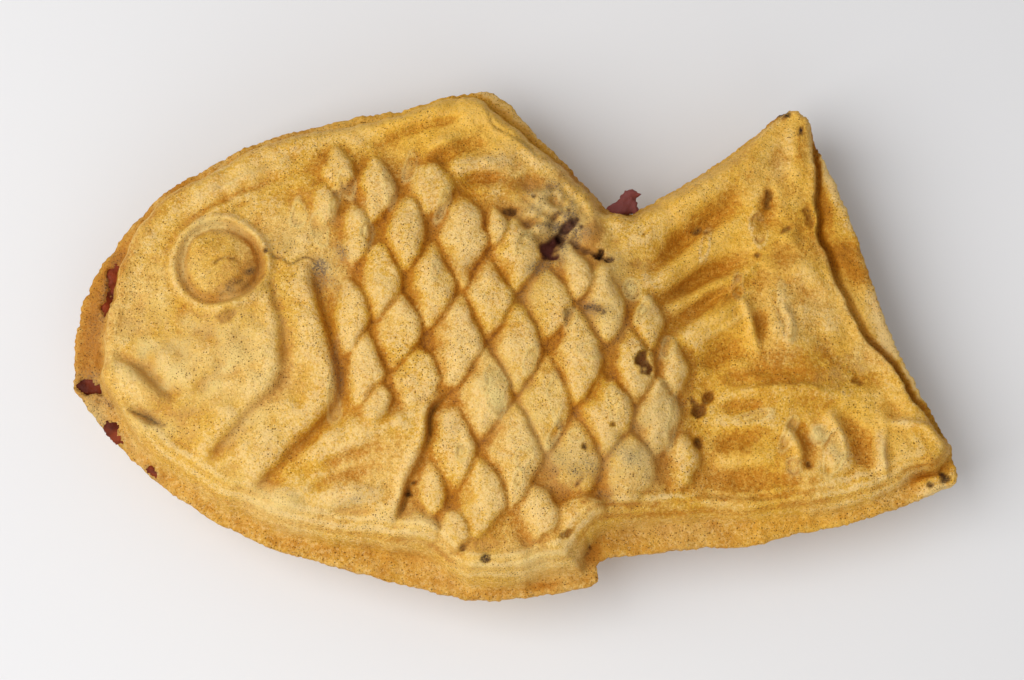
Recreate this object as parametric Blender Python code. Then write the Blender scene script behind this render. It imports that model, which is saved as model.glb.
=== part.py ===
"""Taiyaki: a fish-shaped griddle cake, baked in a two-sided iron round a core of sweet bean paste.

Two solids, in metres, +Z up, lying on its side on the plane Z = 0 with the head towards -X and the back
towards +Y: "cake", the batter shell with its moulded relief and thin rim, and "bean_filling", the paste
that runs through it from the snout to the saddle in front of the tail and shows at both.
Every size below is in millimetres until it is turned into metres as a vertex is placed.
"""

import math

import bmesh
import bpy
import numpy as np
from mathutils import Vector, kdtree
from mathutils.geometry import delaunay_2d_cdt

MM = 0.001

# Overall heights, measured from the table.
SEAM_HEIGHT = 12.0  # where the two halves of the iron meet
RIM_THICKNESS = 2.4  # the thin fin of batter squeezed out along the seam
WALL_WIDTH = 3.8  # how far in from its foot the moulded wall takes to reach the shoulder
BODY_SHOULDER = 7.6  # height of the shoulder over the seam, on the body
TAIL_SHOULDER = 5.6
BODY_CROWN = 3.8  # how much the middle of the body stands over its shoulder
TAIL_CROWN = 0.6
CROWN_REACH = 17.0

# The scales: leaf-shaped pads in staggered rows.
SCALE_ROWS = 8
SCALE_PITCH = 9.75
SCALE_ROW_STEP = 8.8
SCALE_TOP_ROW = 33.9  # height on the page of the first row where X = 0
SCALE_LEAN = -0.13  # rows drop towards the tail
SCALE_HALF_WIDTH = 5.6
SCALE_HALF_HEIGHT = 8.0
SCALE_RISE = 1.9
SCALE_SHIFTS = (0.0, 4.9, 0.2, 5.0, 0.5, 5.0, -0.5, 4.0)

# The head.
EYE = (-49.6, 13.0)
EYE_RADIUS = 5.7
EYE_RISE = 1.5
EYE_RING_RADIUS = 7.4
LIP = (-62.6, -7.8)
LIP_HALF_LENGTH = 6.8
LIP_HALF_WIDTH = 3.1
LIP_SLOPE = math.radians(-32)
INNER_GILL = ((-43.5, 11.5), (-40.4, 4.5), (-39.4, -3.0), (-41.4, -9.5), (-45.8, -14.0), (-52.2, -21.0))
OUTER_GILL = ((-35.0, 14.5), (-32.7, 7.5), (-30.2, -1.0), (-29.9, -9.0), (-33.5, -15.0), (-44.3, -26.0))

# The fin on the flank: its upper edge, its free end, and how far it stands off the body.
FIN_UPPER_EDGE = ((-38.0, -22.0), (-30.5, -16.0), (-20.5, -11.3), (-11.8, -9.8))
FIN_FREE_END = ((-11.8, -9.8), (-14.6, -16.0), (-17.2, -24.5), (-20.4, -31.5))
FIN_RISE = 1.6

# Rays and creases pressed into the fins and the tail: points, half width, depth (negative is a ridge).
RAYS = (
    (((19.0, 8.5), (24.5, 13.5), (29.5, 21.5)), 1.5, 1.6),
    (((23.0, 5.5), (29.0, 10.5), (35.5, 18.5)), 1.4, 1.3),
    (((30.0, 2.0), (36.5, 7.5), (42.5, 16.0)), 1.5, 1.4),
    (((29.0, -5.0), (35.0, -1.5), (40.0, 1.5)), 1.5, 1.0),
    (((42.0, 5.0), (41.8, -2.0)), 1.3, 1.1),
    (((32.0, -14.5), (40.0, -16.0), (46.0, -14.5)), 1.4, 0.8),
    (((46.8, -12.0), (48.5, -17.5), (50.5, -22.5)), 1.4, 1.2),
    (((55.8, -9.0), (56.3, -16.0)), 1.2, 1.0),
    (((42.5, 26.0), (41.5, 20.5), (41.8, 15.5)), 1.2, 1.0),
    (((61.3, -13.5), (63.2, -25.0)), 1.1, -1.0),
    (((51.2, -11.5), (53.5, -21.0)), 2.2, -1.0),
    (((-34.0, 29.0), (-27.0, 33.5), (-20.0, 36.0)), 1.5, 0.7),
    (((-20.0, 30.0), (-13.5, 32.0), (-7.5, 34.5)), 1.4, 0.9),
    (((-10.0, 26.0), (0.0, 28.5), (7.0, 28.5)), 1.5, 0.9),
    (((-1.5, 21.5), (8.0, 24.5)), 1.3, 0.7),
    (((-47.5, -3.8), (-54.7, -10.2)), 1.2, 0.8),
    (((-33.0, -19.0), (-25.0, -17.0), (-17.5, -15.5)), 1.2, 0.6),
    (((-35.0, -23.5), (-26.0, -22.0), (-19.0, -21.0)), 1.2, 0.6),
)
VENTRAL_FIN = (-1.0, -36.5)

# The outline, head to tail along the back and home along the belly. Each stretch is a smooth curve and
# stretches meet at corners. A station is X, Y and the width of the rim there.
OUTLINE = (
    ((-75.0, -6.6, 5.0), (-74.8, 0.0, 5.2), (-73.6, 7.1, 5.0), (-71.0, 12.7, 4.2), (-66.5, 19.3, 1.8),
     (-61.0, 25.5, 1.3), (-54.5, 29.8, 1.5), (-44.5, 35.0, 1.4), (-34.0, 38.0, 1.2), (-27.0, 39.7, 2.0),
     (-20.0, 40.8, 1.2), (-13.0, 43.0, 0.9), (-7.0, 43.9, 0.9)),
    ((-7.0, 43.9, 0.9), (-4.3, 44.0, 2.6), (-1.5, 42.5, 3.2), (1.5, 39.3, 3.0), (5.0, 35.4, 2.4),
     (9.0, 31.4, 2.0), (13.0, 27.0, 1.8), (15.8, 23.5, 1.5)),
    ((15.8, 23.5, 1.5), (18.5, 23.6, 1.2), (20.5, 22.6, 0.7)),
    ((20.5, 22.6, 0.7), (27.5, 26.6, 0.5), (36.0, 32.1, 0.5), (42.0, 36.7, 0.6), (46.5, 40.5, 0.7)),
    ((46.5, 40.5, 0.7), (48.8, 40.7, 0.7), (51.0, 39.3, 0.8)),
    ((51.0, 39.3, 0.8), (53.0, 32.4, 1.2), (56.0, 25.9, 4.4), (59.5, 16.2, 5.8), (62.5, 6.6, 4.6),
     (66.0, -2.5, 2.3), (70.3, -11.1, 0.9), (74.3, -17.4, 0.8)),
    ((74.3, -17.4, 0.8), (74.3, -19.5, 1.2), (75.0, -21.8, 2.8), (74.6, -24.1, 3.6)),
    ((74.6, -24.1, 3.6), (68.5, -26.9, 3.0), (61.5, -29.4, 2.3), (54.5, -31.4, 2.3), (47.0, -32.7, 3.0),
     (41.0, -34.5, 4.0), (30.0, -35.1, 4.4), (21.0, -36.2, 5.2), (16.0, -36.5, 4.0)),
    ((16.0, -36.5, 4.0), (14.1, -37.8, 2.2), (14.6, -40.5, 2.3)),
    ((14.6, -40.5, 2.3), (12.5, -41.5, 2.4), (5.0, -43.0, 3.1), (-3.0, -43.8, 3.0), (-9.0, -43.5, 2.9),
     (-15.0, -42.1, 5.0), (-22.0, -40.3, 4.4), (-30.7, -38.0, 3.5), (-41.0, -34.9, 3.0), (-51.0, -30.2, 2.7),
     (-61.0, -23.3, 2.4), (-66.5, -18.2, 2.6), (-71.5, -12.5, 4.2), (-74.3, -8.6, 4.9), (-75.0, -6.6, 5.0)),
)

# The filling: its own outline inside the body, and the tongues of paste that were squeezed out between the
# halves. A tongue has its start inside the core, its end in the rim, its width, and how far its slot in the
# cake runs on past that end: out through the edge, or only as far as the clearance.
FILLING_OUTLINE = ((-61.0, -5.0), (-60.0, 6.0), (-54.0, 17.0), (-42.0, 24.5), (-28.0, 28.5), (-12.0, 32.0),
                   (-2.0, 26.0), (9.0, 16.0), (15.0, 8.0), (16.0, -6.0), (13.0, -20.0), (4.0, -29.5),
                   (-9.0, -31.0), (-26.0, -26.5), (-42.0, -21.5), (-54.0, -14.0))
FILLING_HALF_THICKNESS = 4.6
FILLING_ROUNDING = 6.0
FILLING_STEP = 4.0
CLEARANCE = 0.3
TONGUE_HALF_THICKNESS = 1.5
TONGUES = (
    ((-56.0, -5.0), (-74.9, -6.6), 2.2, 2.0),
    ((-56.0, -8.0), (-69.6, -14.5), 3.4, 2.0),
    ((-51.0, -12.0), (-61.9, -22.2), 2.8, 2.0),
    ((-56.0, 8.0), (-70.4, 10.4), 8.0, 0.3),
    ((9.0, 11.0), (18.1, 23.4), 3.8, 2.0),
)

OUTLINE_STEP = 2.1
LATTICE_STEP = 2.35
SMOOTH_ANGLE = math.radians(50)


def catmull_rom(points, step):
    """A smooth curve through the points, sampled about every step; the last point is left out."""
    points = np.asarray(points, float)
    padded = np.vstack([2 * points[0] - points[1], points, 2 * points[-1] - points[-2]])
    samples = []
    for before, start, end, after in zip(padded, padded[1:], padded[2:], padded[3:]):
        count = max(1, round(math.dist(start[:2], end[:2]) / step))
        for t in np.arange(count) / count:
            samples.append(0.5 * (2 * start + (end - before) * t
                                  + (2 * before - 5 * start + 4 * end - after) * t**2
                                  + (3 * start - before - 3 * end + after) * t**3))
    return np.array(samples)


def outline(step):
    """The whole outline as rows of X, Y and rim width, clockwise from the snout."""
    return np.vstack([catmull_rom(stretch, step) for stretch in OUTLINE])


def measure(line, xy):
    """For each place: its distance from the line, the same with a sign (+ on the left), and its share along it."""
    start, run = line[:-1], np.diff(line, axis=0)
    length = np.hypot(run[:, 0], run[:, 1])
    away = xy[:, None] - start[None]
    share = np.clip((away * run).sum(2) / length**2, 0, 1)
    offset = away - share[..., None] * run
    gap = np.hypot(offset[..., 0], offset[..., 1])
    nearest = gap.argmin(1)
    rows = np.arange(len(xy))
    cross = run[nearest, 0] * away[rows, nearest, 1] - run[nearest, 1] * away[rows, nearest, 0]
    travelled = np.concatenate([[0], np.cumsum(length)])
    along = (travelled[nearest] + share[rows, nearest] * length[nearest]) / travelled[-1]
    distance = gap[rows, nearest]
    return distance, np.where(cross >= 0, distance, -distance), along


def smooth_step(value, low, high):
    t = np.clip((value - low) / (high - low), 0, 1)
    return t * t * (3 - 2 * t)


def depth_inside(xy, edge):
    """Distance from the outline, and from the foot of the moulded wall, which the rim separates from it."""
    tree = kdtree.KDTree(len(edge))
    for index, (x, y, _) in enumerate(edge):
        tree.insert((x, y, 0), index)
    tree.balance()
    found = [tree.find((x, y, 0)) for x, y in xy]
    to_edge = np.array([gap for _, _, gap in found])
    rim = edge[[index for _, index, _ in found], 2]
    return to_edge, to_edge - rim


def ended(along, taper=0.18):
    """1 along a line, and down to 0 over its last stretches."""
    return smooth_step(along, 0, taper) * (1 - smooth_step(along, 1 - taper, 1))


def plate_edge(xy, points, rise, groove):
    """The rounded edge of a plate that lies on the right of a line, with a groove at its foot."""
    distance, side, along = measure(catmull_rom(points, 1.5), xy)
    on_plate = np.clip(-side, 0, None)
    lift = rise * np.exp(-on_plate / 5.0) * (1 - np.exp(-((on_plate + 0.2) / 0.9) ** 2))
    foot = groove * np.exp(-((side - 0.3) / 1.1) ** 2)
    return np.where(side < 0.3, lift, 0) * ended(along) - foot * ended(along)


def scale_centres():
    """Centres of the scales, row by row from the back to the belly."""
    for row in range(SCALE_ROWS):
        for column in range(-5, 4):
            x = SCALE_PITCH * column + SCALE_SHIFTS[row]
            yield x, SCALE_TOP_ROW - SCALE_ROW_STEP * row + SCALE_LEAN * x


def scale_relief(xy, base):
    """Leaf-shaped pads laid side by side over the ground between them."""
    ground = np.zeros(len(xy))
    for x, y in scale_centres():
        across = np.abs(xy[:, 0] - x) / SCALE_HALF_WIDTH
        up = np.abs(xy[:, 1] - y) / SCALE_HALF_HEIGHT
        radius = (across**1.5 + up**1.5) ** (1 / 1.5)
        towards_tail = 1 + 0.25 * (xy[:, 0] - x) / SCALE_HALF_WIDTH
        pad = SCALE_RISE * towards_tail * (1 - np.clip(radius, 0, 1) ** 2.2)
        ground = np.maximum(ground, pad)
    _, past_gill, _ = measure(catmull_rom(OUTER_GILL, 1.5), xy)
    behind_head = smooth_step(past_gill, 0.0, 1.5) * smooth_step(xy[:, 0], -37, -33)
    before_tail = 1 - smooth_step(xy[:, 0] + 0.25 * np.abs(xy[:, 1] + 6), 28, 33)
    below_back = 1 - smooth_step(xy[:, 1] - 0.12 * xy[:, 0], 27, 33)
    return ground * behind_head * before_tail * below_back * smooth_step(base, 5.5, 7.0)


def fin_shape(xy):
    """How much of the flank fin covers each place, from 0 to 1, and its rise there."""
    _, under_edge, _ = measure(catmull_rom(FIN_UPPER_EDGE, 1.5), xy)
    _, before_end, _ = measure(catmull_rom(FIN_FREE_END, 1.5), xy)
    cover = smooth_step(-under_edge, -0.4, 0.9) * smooth_step(-before_end, -0.4, 0.9)
    cover *= smooth_step(xy[:, 1], -33.5, -30.0) * smooth_step(xy[:, 0], -43, -34)
    return cover, FIN_RISE * smooth_step(xy[:, 0], -42, -18)


def eye_relief(xy):
    """A low dome in a groove, with a soft ring round it."""
    radius = np.hypot(xy[:, 0] - EYE[0], xy[:, 1] - EYE[1])
    dome = EYE_RISE * np.clip(1 - (radius / EYE_RADIUS) ** 2, 0, None) ** 0.7
    groove = -0.9 * np.exp(-((radius - EYE_RADIUS - 0.4) / 0.8) ** 2)
    ring = 0.6 * np.exp(-((radius - EYE_RING_RADIUS) / 1.0) ** 2)
    return dome + groove + ring


def lip_relief(xy):
    """The oval upper lip, in line with the mouth."""
    turned_x = (xy[:, 0] - LIP[0]) * math.cos(LIP_SLOPE) + (xy[:, 1] - LIP[1]) * math.sin(LIP_SLOPE)
    turned_y = (xy[:, 1] - LIP[1]) * math.cos(LIP_SLOPE) - (xy[:, 0] - LIP[0]) * math.sin(LIP_SLOPE)
    radius = np.hypot(turned_x / LIP_HALF_LENGTH, turned_y / LIP_HALF_WIDTH)
    return 1.4 * np.clip(1 - radius**2, 0, None) - 0.5 * np.exp(-((radius - 1.15) / 0.2) ** 2)


def relief(xy, edge):
    """Height of one moulded face over the seam."""
    _, inside = depth_inside(xy, edge)
    tail = smooth_step(xy[:, 0], 14, 34)
    shoulder = BODY_SHOULDER + (TAIL_SHOULDER - BODY_SHOULDER) * tail
    crown = BODY_CROWN + (TAIL_CROWN - BODY_CROWN) * tail
    up_wall = np.clip(inside / WALL_WIDTH, 0, 1)
    base = shoulder * (1 - (1 - up_wall) ** 2)
    base += crown * (1 - np.exp(-(np.clip(inside, 0, None) / CROWN_REACH) ** 2))
    ventral = np.hypot((xy[:, 0] - VENTRAL_FIN[0]) / 12.5, (xy[:, 1] - VENTRAL_FIN[1]) / 4.5)
    base += 1.3 * np.clip(1 - ventral**2, 0, None)

    cover, rise = fin_shape(xy)
    detail = np.maximum(scale_relief(xy, base) * (1 - cover), 0)
    detail += cover * (rise + 0.8)
    detail += plate_edge(xy, INNER_GILL, 0.9, 0.9)
    detail += plate_edge(xy, OUTER_GILL, 1.3, 1.3)
    detail += eye_relief(xy) + lip_relief(xy)
    for points, width, depth in RAYS:
        distance, _, along = measure(catmull_rom(points, 1.5), xy)
        detail -= depth * np.exp(-((distance / width) ** 2)) * ended(along)
    on_top = smooth_step(inside, 0.5 * WALL_WIDTH, WALL_WIDTH)
    return RIM_THICKNESS / 2 + base + detail * on_top


def inner_rings(edge, offsets):
    """Points in lines along the outline: on the rim, up the wall and on the shoulder."""
    xy = edge[:, :2]
    tangent = np.roll(xy, -1, axis=0) - np.roll(xy, 1, axis=0)
    tangent /= np.hypot(tangent[:, 0], tangent[:, 1])[:, None]
    inward = np.column_stack([tangent[:, 1], -tangent[:, 0]])
    for offset in offsets:
        yield xy + inward * (edge[:, 2] + offset)[:, None], offset


def hexagonal_lattice(step):
    """A field of evenly spaced points over the fish."""
    rows = np.arange(-46, 46, step * math.sqrt(0.75))
    return np.array([(x + (index % 2) * step / 2, y)
                     for index, y in enumerate(rows)
                     for x in np.arange(-77, 77, step)])


def inside_polygon(xy, polygon):
    """Even-odd test of every point against a closed polygon."""
    inside = np.zeros(len(xy), bool)
    for (x0, y0), (x1, y1) in zip(polygon, np.roll(polygon, -1, axis=0)):
        crosses = (y0 > xy[:, 1]) != (y1 > xy[:, 1])
        rise = y1 - y0 if y1 != y0 else 1.0
        inside ^= crosses & (xy[:, 0] < x0 + (xy[:, 1] - y0) * (x1 - x0) / rise)
    return inside


def thinned(groups, spacing):
    """The points of all groups in turn, without any that lies closer than spacing to one already kept."""
    kept = []
    cells = {}
    for point in (tuple(p) for group in groups for p in group):
        key = (math.floor(point[0] / spacing), math.floor(point[1] / spacing))
        near = [other for dx in (-1, 0, 1) for dy in (-1, 0, 1)
                for other in cells.get((key[0] + dx, key[1] + dy), ())]
        if all(math.dist(point, other) >= spacing for other in near):
            cells.setdefault(key, []).append(point)
            kept.append(point)
    return kept


def slab(boundary, inner_points, top, bottom):
    """A closed bmesh over a flat outline: filled with triangles, extruded, and its two faces given their heights."""
    points = [Vector(p) for p in (*boundary, *inner_points)]
    corners, _, triangles, *_ = delaunay_2d_cdt(points, [], [list(range(len(boundary)))], 1, 1e-5)
    bm = bmesh.new()
    verts = [bm.verts.new((corner.x, corner.y, 0)) for corner in corners]
    for triangle in triangles:
        bm.faces.new([verts[index] for index in triangle])
    raised = bmesh.ops.extrude_face_region(bm, geom=bm.faces[:], use_keep_orig=True)
    upper = [item for item in raised["geom"] if isinstance(item, bmesh.types.BMVert)]
    for level, group in ((top, upper), (bottom, verts)):
        heights = level(np.array([vert.co.xy for vert in group]))
        for vert, height in zip(group, heights):
            vert.co = (vert.co.x * MM, vert.co.y * MM, height * MM)
    bmesh.ops.recalc_face_normals(bm, faces=bm.faces)
    return bm


def add_object(name, bm, material):
    mesh = bpy.data.meshes.new(name)
    bm.to_mesh(mesh)
    bm.free()
    mesh.shade_smooth()
    mesh.set_sharp_from_angle(angle=SMOOTH_ANGLE)
    if material:
        mesh.materials.append(material)
    item = bpy.data.objects.new(name, mesh)
    bpy.context.scene.collection.objects.link(item)
    return item


def add_material(name, colour, roughness):
    material = bpy.data.materials.new(name)
    material.use_nodes = True
    shader = material.node_tree.nodes["Principled BSDF"]
    shader.inputs["Base Color"].default_value = (*colour, 1)
    shader.inputs["Roughness"].default_value = roughness
    shader.inputs["Metallic"].default_value = 0
    return material


def cake_mesh():
    """The outside of the cake: the same moulded face above and below the seam, flat where it rests."""
    edge = outline(OUTLINE_STEP)
    fine_edge = outline(0.25)
    boundary = edge[:, :2]
    rings = []
    for ring, offset in inner_rings(edge, (0.0, WALL_WIDTH * 0.5, WALL_WIDTH)):
        to_edge, to_foot = depth_inside(ring, fine_edge)
        rings.append(ring[(np.abs(to_foot - offset) < 0.4) & inside_polygon(ring, boundary) & (to_edge > 0.7)])
    field = hexagonal_lattice(LATTICE_STEP)
    to_edge, to_foot = depth_inside(field, fine_edge)
    field = field[inside_polygon(field, boundary) & (to_edge > 1.0) & (to_foot > WALL_WIDTH + 0.6)]
    inner = thinned([*rings, field], 0.9)

    def top(xy):
        return SEAM_HEIGHT + relief(xy, fine_edge)

    def bottom(xy):
        return np.maximum(SEAM_HEIGHT - relief(xy, fine_edge), 0)

    return slab(boundary, inner, top, bottom)


def tongue_mesh(start, end, width, grow, run_on):
    """A strip of paste between the halves, narrower at its outer end."""
    start, end = np.array(start), np.array(end)
    forward = (end - start) / np.hypot(*(end - start))
    sideways = np.array([-forward[1], forward[0]]) * (width / 2 + grow)
    tip = end + forward * run_on
    half = TONGUE_HALF_THICKNESS + grow
    return slab(np.array([start - sideways, tip - 0.8 * sideways, tip + 0.8 * sideways, start + sideways]), [],
                lambda xy: np.full(len(xy), SEAM_HEIGHT + half), lambda xy: np.full(len(xy), SEAM_HEIGHT - half))


def filling_mesh(grow):
    """The paste as a rounded slab; grow makes the slightly larger cutter that hollows the cake."""
    curve = catmull_rom((*FILLING_OUTLINE, FILLING_OUTLINE[0]), FILLING_STEP)
    tangent = np.roll(curve, -1, axis=0) - np.roll(curve, 1, axis=0)
    outward = np.column_stack([-tangent[:, 1], tangent[:, 0]]) / np.hypot(tangent[:, 0], tangent[:, 1])[:, None]
    boundary = curve + outward * grow
    closed = np.vstack([boundary, boundary[:1]])
    field = hexagonal_lattice(FILLING_STEP)
    field = field[inside_polygon(field, boundary)]
    field = field[measure(closed, field)[0] > FILLING_STEP / 2]

    def half_thickness(xy):
        in_from_edge = np.clip(measure(closed, xy)[0] / FILLING_ROUNDING, 0, 1)
        return (0.35 + 0.65 * np.sqrt(1 - (1 - in_from_edge) ** 2)) * (FILLING_HALF_THICKNESS + grow)

    return slab(boundary, [tuple(p) for p in field],
                lambda xy: SEAM_HEIGHT + half_thickness(xy), lambda xy: SEAM_HEIGHT - half_thickness(xy))


def hide(item):
    item.hide_render = True
    item.display_type = "WIRE"
    return item


def add_boolean(item, other, operation):
    modifier = item.modifiers.new(operation.lower(), "BOOLEAN")
    modifier.object = other
    modifier.operation = operation
    modifier.solver = "EXACT"


def add_filling(name, grow, material):
    """The core of paste joined with its tongues; grow above 0 makes the cutter."""
    filling = add_object(name, filling_mesh(grow), material)
    for index, (start, end, width, run_on) in enumerate(TONGUES):
        tongue = tongue_mesh(start, end, width, grow, run_on if grow else 0)
        add_boolean(filling, hide(add_object(f"{name}_tongue_{index}", tongue, material)), "UNION")
    return filling


def build():
    for item in list(bpy.data.objects):
        bpy.data.objects.remove(item)
    crust = add_material("griddled_batter", (0.63, 0.35, 0.08), 0.55)
    paste = add_material("bean_paste", (0.16, 0.03, 0.02), 0.45)
    add_filling("bean_filling", 0.0, paste)
    hollow = hide(add_filling("hollow_cutter", CLEARANCE, None))
    cake = add_object("cake", cake_mesh(), crust)
    add_boolean(cake, hollow, "DIFFERENCE")


build()
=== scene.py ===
"""Taiyaki: the two griddled halves of a fish-shaped cake and the bean paste between them.

The halves are pressed on a fine grid from one mould drawing. Sizes are in millimetres until a vertex is
placed: the head points to -X, the back to +Y, and the seam between the halves lies level at SEAM.
"""

import math

import bmesh
import bpy
import numpy as np
from mathutils import Matrix, Vector, kdtree, noise


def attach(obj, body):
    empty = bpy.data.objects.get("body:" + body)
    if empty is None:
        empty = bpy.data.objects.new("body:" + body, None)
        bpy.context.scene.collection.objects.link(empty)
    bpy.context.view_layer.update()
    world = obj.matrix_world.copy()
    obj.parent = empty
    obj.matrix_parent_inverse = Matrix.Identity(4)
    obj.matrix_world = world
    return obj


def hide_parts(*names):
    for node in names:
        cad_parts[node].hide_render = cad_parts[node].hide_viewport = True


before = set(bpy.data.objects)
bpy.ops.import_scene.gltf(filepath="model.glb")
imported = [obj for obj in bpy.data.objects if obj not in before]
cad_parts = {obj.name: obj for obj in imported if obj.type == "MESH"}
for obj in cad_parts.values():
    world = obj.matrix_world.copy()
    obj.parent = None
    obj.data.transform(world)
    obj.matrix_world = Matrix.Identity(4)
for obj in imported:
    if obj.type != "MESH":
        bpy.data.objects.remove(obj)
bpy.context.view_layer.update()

MM = 0.001
SEAM = 12.0         # height of the seam
REST = 0.02         # the lowest level, just off the table
RIM = 1.2           # half thickness of the rim
SHOULDER = 7.4      # height of the wall over the rim
CROWN = 3.75        # how much higher the middle of the body swells
PAD_RISE = 2.15     # height of the pads of the scales
REACH = 76.5, 45.5  # half sizes of the grid
UPPER_CELL = 0.33
LOWER_CELL = 0.5

DULL_GOLD, LIGHT_GOLD, RICH_GOLD = (0.74, 0.41, 0.04), (0.80, 0.49, 0.115), (0.86, 0.48, 0.05)
# The crest cream paints paler baking on crests plus painted highlight there.
MOTTLED_BROWN, MOTTLED_CREAM, CREST_CREAM_AND_HIGHLIGHT = (0.62, 0.29, 0.035), (0.80, 0.54, 0.20), (0.88, 0.63, 0.28)
LIGHT_GRAIN, DARK_GRAIN, RIM_BROWN = (0.98, 0.74, 0.32), (0.40, 0.19, 0.015), (0.58, 0.275, 0.035)
# The toast browns colour baked browning plus painted shade in creases, grooves, hollows and gaps; the burnt
# colour paints real scorch plus painted shade in holes, cracks and gaps.
TOAST_AND_SHADE_BROWN, DARK_TOAST_AND_SHADE, BURNT_AND_SHADE = (0.47, 0.165, 0.004), (0.18, 0.045, 0.004), (0.055, 0.027, 0.015)
# The blister cream paints pale skin and pale washes, and also painted highlight on the eye ring, the tail's
# end lip and the flange edge.
BLISTER_SKIN_AND_HIGHLIGHT, STAIN_AND_SHADE_GREY, PASTE_IN_HOLE = (0.78, 0.57, 0.205), (0.25, 0.165, 0.085), (0.11, 0.024, 0.016)
# The stain grey on the line above and the stained pore brown also colour painted shade in the hollows between
# the pads.
PORE_BROWN, STAINED_AND_SHADED_PORE = (0.14, 0.048, 0.004), (0.06, 0.038, 0.022)
DARK_PASTE, RED_PASTE, BEAN_SKIN = (0.085, 0.012, 0.004), (0.25, 0.042, 0.012), (0.05, 0.008, 0.004)
DRIED_PASTE, PASTE_FLECK = (0.27, 0.08, 0.075), (0.36, 0.10, 0.04)

# The outline in smooth stretches that meet at corners, clockwise from the snout: X, Y and rim width.
OUTLINE = (
    ((-75, -6.6, 5), (-74.8, 0, 5.2), (-73.6, 7.1, 5), (-71, 12.7, 4.2), (-66.5, 19.3, 1.8),
     (-61, 25.5, 1.3), (-54.5, 29.8, 1.5), (-44.5, 35, 1.4), (-34, 38, 1.2), (-27, 39.7, 2),
     (-20, 40.8, 1.2), (-13, 43, 0.9), (-7, 43.9, 0.9)),
    ((-7, 43.9, 0.9), (-4.3, 44, 2.4), (-1.5, 42.5, 2.8), (1.5, 39.3, 2.3), (5, 35.4, 1.6),
     (9, 31.4, 1.1), (13, 27, 0.8), (15.8, 23.5, 0.9)),
    ((15.8, 23.5, 1.5), (18.5, 23.6, 1.2), (20.5, 22.6, 0.7)),
    ((20.5, 22.6, 0.7), (27.5, 26.6, 0.5), (36, 32.1, 0.5), (42, 36.7, 0.6), (46.5, 40.5, 0.7)),
    ((46.5, 40.5, 0.7), (48.8, 40.7, 0.7), (51, 39.3, 0.8)),
    ((51, 39.3, 0.8), (53, 32.4, 1.9), (56, 25.9, 4.6), (59.5, 16.2, 6.3), (62.5, 6.6, 5.4),
     (66, -2.5, 3.1), (70.3, -11.1, 1.6), (74.3, -17.4, 0.9)),
    ((74.3, -17.4, 0.8), (74.3, -19.5, 1.2), (75, -21.8, 2.8), (74.6, -24.1, 3.6)),
    ((74.6, -24.1, 3.6), (68.5, -26.9, 3), (61.5, -29.4, 2.3), (54.5, -31.4, 2.3), (47, -32.7, 3),
     (41, -34.5, 4), (30, -35.1, 4.4), (21, -36.2, 5.2), (16, -36.5, 4)),
    ((16, -36.5, 4), (14.1, -37.8, 2.2), (14.6, -40.5, 2.3)),
    ((14.6, -40.5, 2.3), (12.5, -41.5, 2.6), (5, -43, 2.7), (-3, -43.8, 1.8), (-9, -43.5, 2.3),
     (-15, -42.1, 5.2), (-22, -40.3, 4.4), (-30.7, -38, 3.5), (-41, -34.9, 3), (-51, -30.2, 2.7),
     (-61, -23.3, 2.4), (-66.5, -18.2, 2.6), (-71.5, -12.5, 4.2), (-74.3, -8.6, 4.9), (-75, -6.6, 5)),
)

# The pads of the scales: centre, half width and half height.
SCALES = (
    (-31, 30, 2.8, 4), (-24.2, 27, 3.2, 5.6), (-15.1, 27.3, 3.8, 5.2), (-33, 24.5, 2.2, 4),
    (-27.6, 19.5, 2.4, 5.4), (-18.9, 19.8, 3.4, 6.6), (-9.2, 17.9, 4.1, 7.6), (-3.2, 20.7, 1.7, 3),
    (0.1, 15.6, 3.7, 5.6), (10.4, 12, 2.6, 3.8), (-23.3, 11, 3.5, 6.3), (-14.5, 10.4, 4.1, 6.9),
    (-4.8, 8.4, 4, 6.7), (5.4, 7, 3.9, 6.4), (15.2, 7.2, 3.4, 6.4), (22.6, 4.2, 2.5, 4.5),
    (-28.5, 4.8, 3, 6.2), (-20.4, 3, 4, 6), (-10.3, 0.9, 4.3, 7.6), (0.2, 0, 4.2, 7.4), (10.7, -2, 4.1, 7.6),
    (20.2, -3.4, 3.4, 6.2), (27, -3.6, 2.5, 4.9), (-25.9, -3.7, 3.3, 5.9), (-17.1, -5.3, 4, 5.4),
    (-5.5, -8.3, 4.2, 7.2), (4.7, -9.9, 4.8, 7.5), (15.3, -11.3, 4.4, 7.3), (24.2, -12, 3.4, 6.2),
    (-23.8, -9.4, 2.8, 3.8), (-10.5, -17.4, 3.4, 6.9), (-0.8, -18.2, 4.8, 7.7), (10.2, -18.7, 4.5, 6.5),
    (19.3, -20.6, 4, 5.5), (28, -19.3, 2.6, 4.8), (-14.3, -24.5, 2.4, 4.4), (-6.2, -25.2, 4, 6.1),
    (3.5, -28.1, 3.2, 4.5), (11, -28.2, 4.2, 3), (-16.3, -30.6, 3.6, 3.2), (-11, -31.5, 3, 3.4),
)

EYE = (-50.4, 14.4)
INNER_GILL = ((-42.5, 12.5), (-40.9, 7), (-40, 3), (-39.8, -2), (-40, -5), (-41.5, -7.3),
              (-45, -10.5), (-50, -16.5), (-53.5, -19.6))
OUTER_GILL = ((-35.5, 15.5), (-34, 10), (-33, 6), (-31.5, 1), (-30, -4), (-30, -8),
              (-31.5, -10.5), (-35, -14.5), (-40, -19.5), (-45.5, -25))
FIN_UPPER = ((-45, -25), (-40, -22.5), (-33, -18), (-27, -14.6), (-20, -11.2), (-13, -8.2),
             (-8, -5.6))
FIN_END = ((-8.5, -5.8), (-11.5, -8.4), (-13.9, -11), (-14.3, -14.5), (-15.6, -18.6), (-17.8, -22.5),
           (-18.4, -25.5), (-20.6, -30.5))
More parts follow.
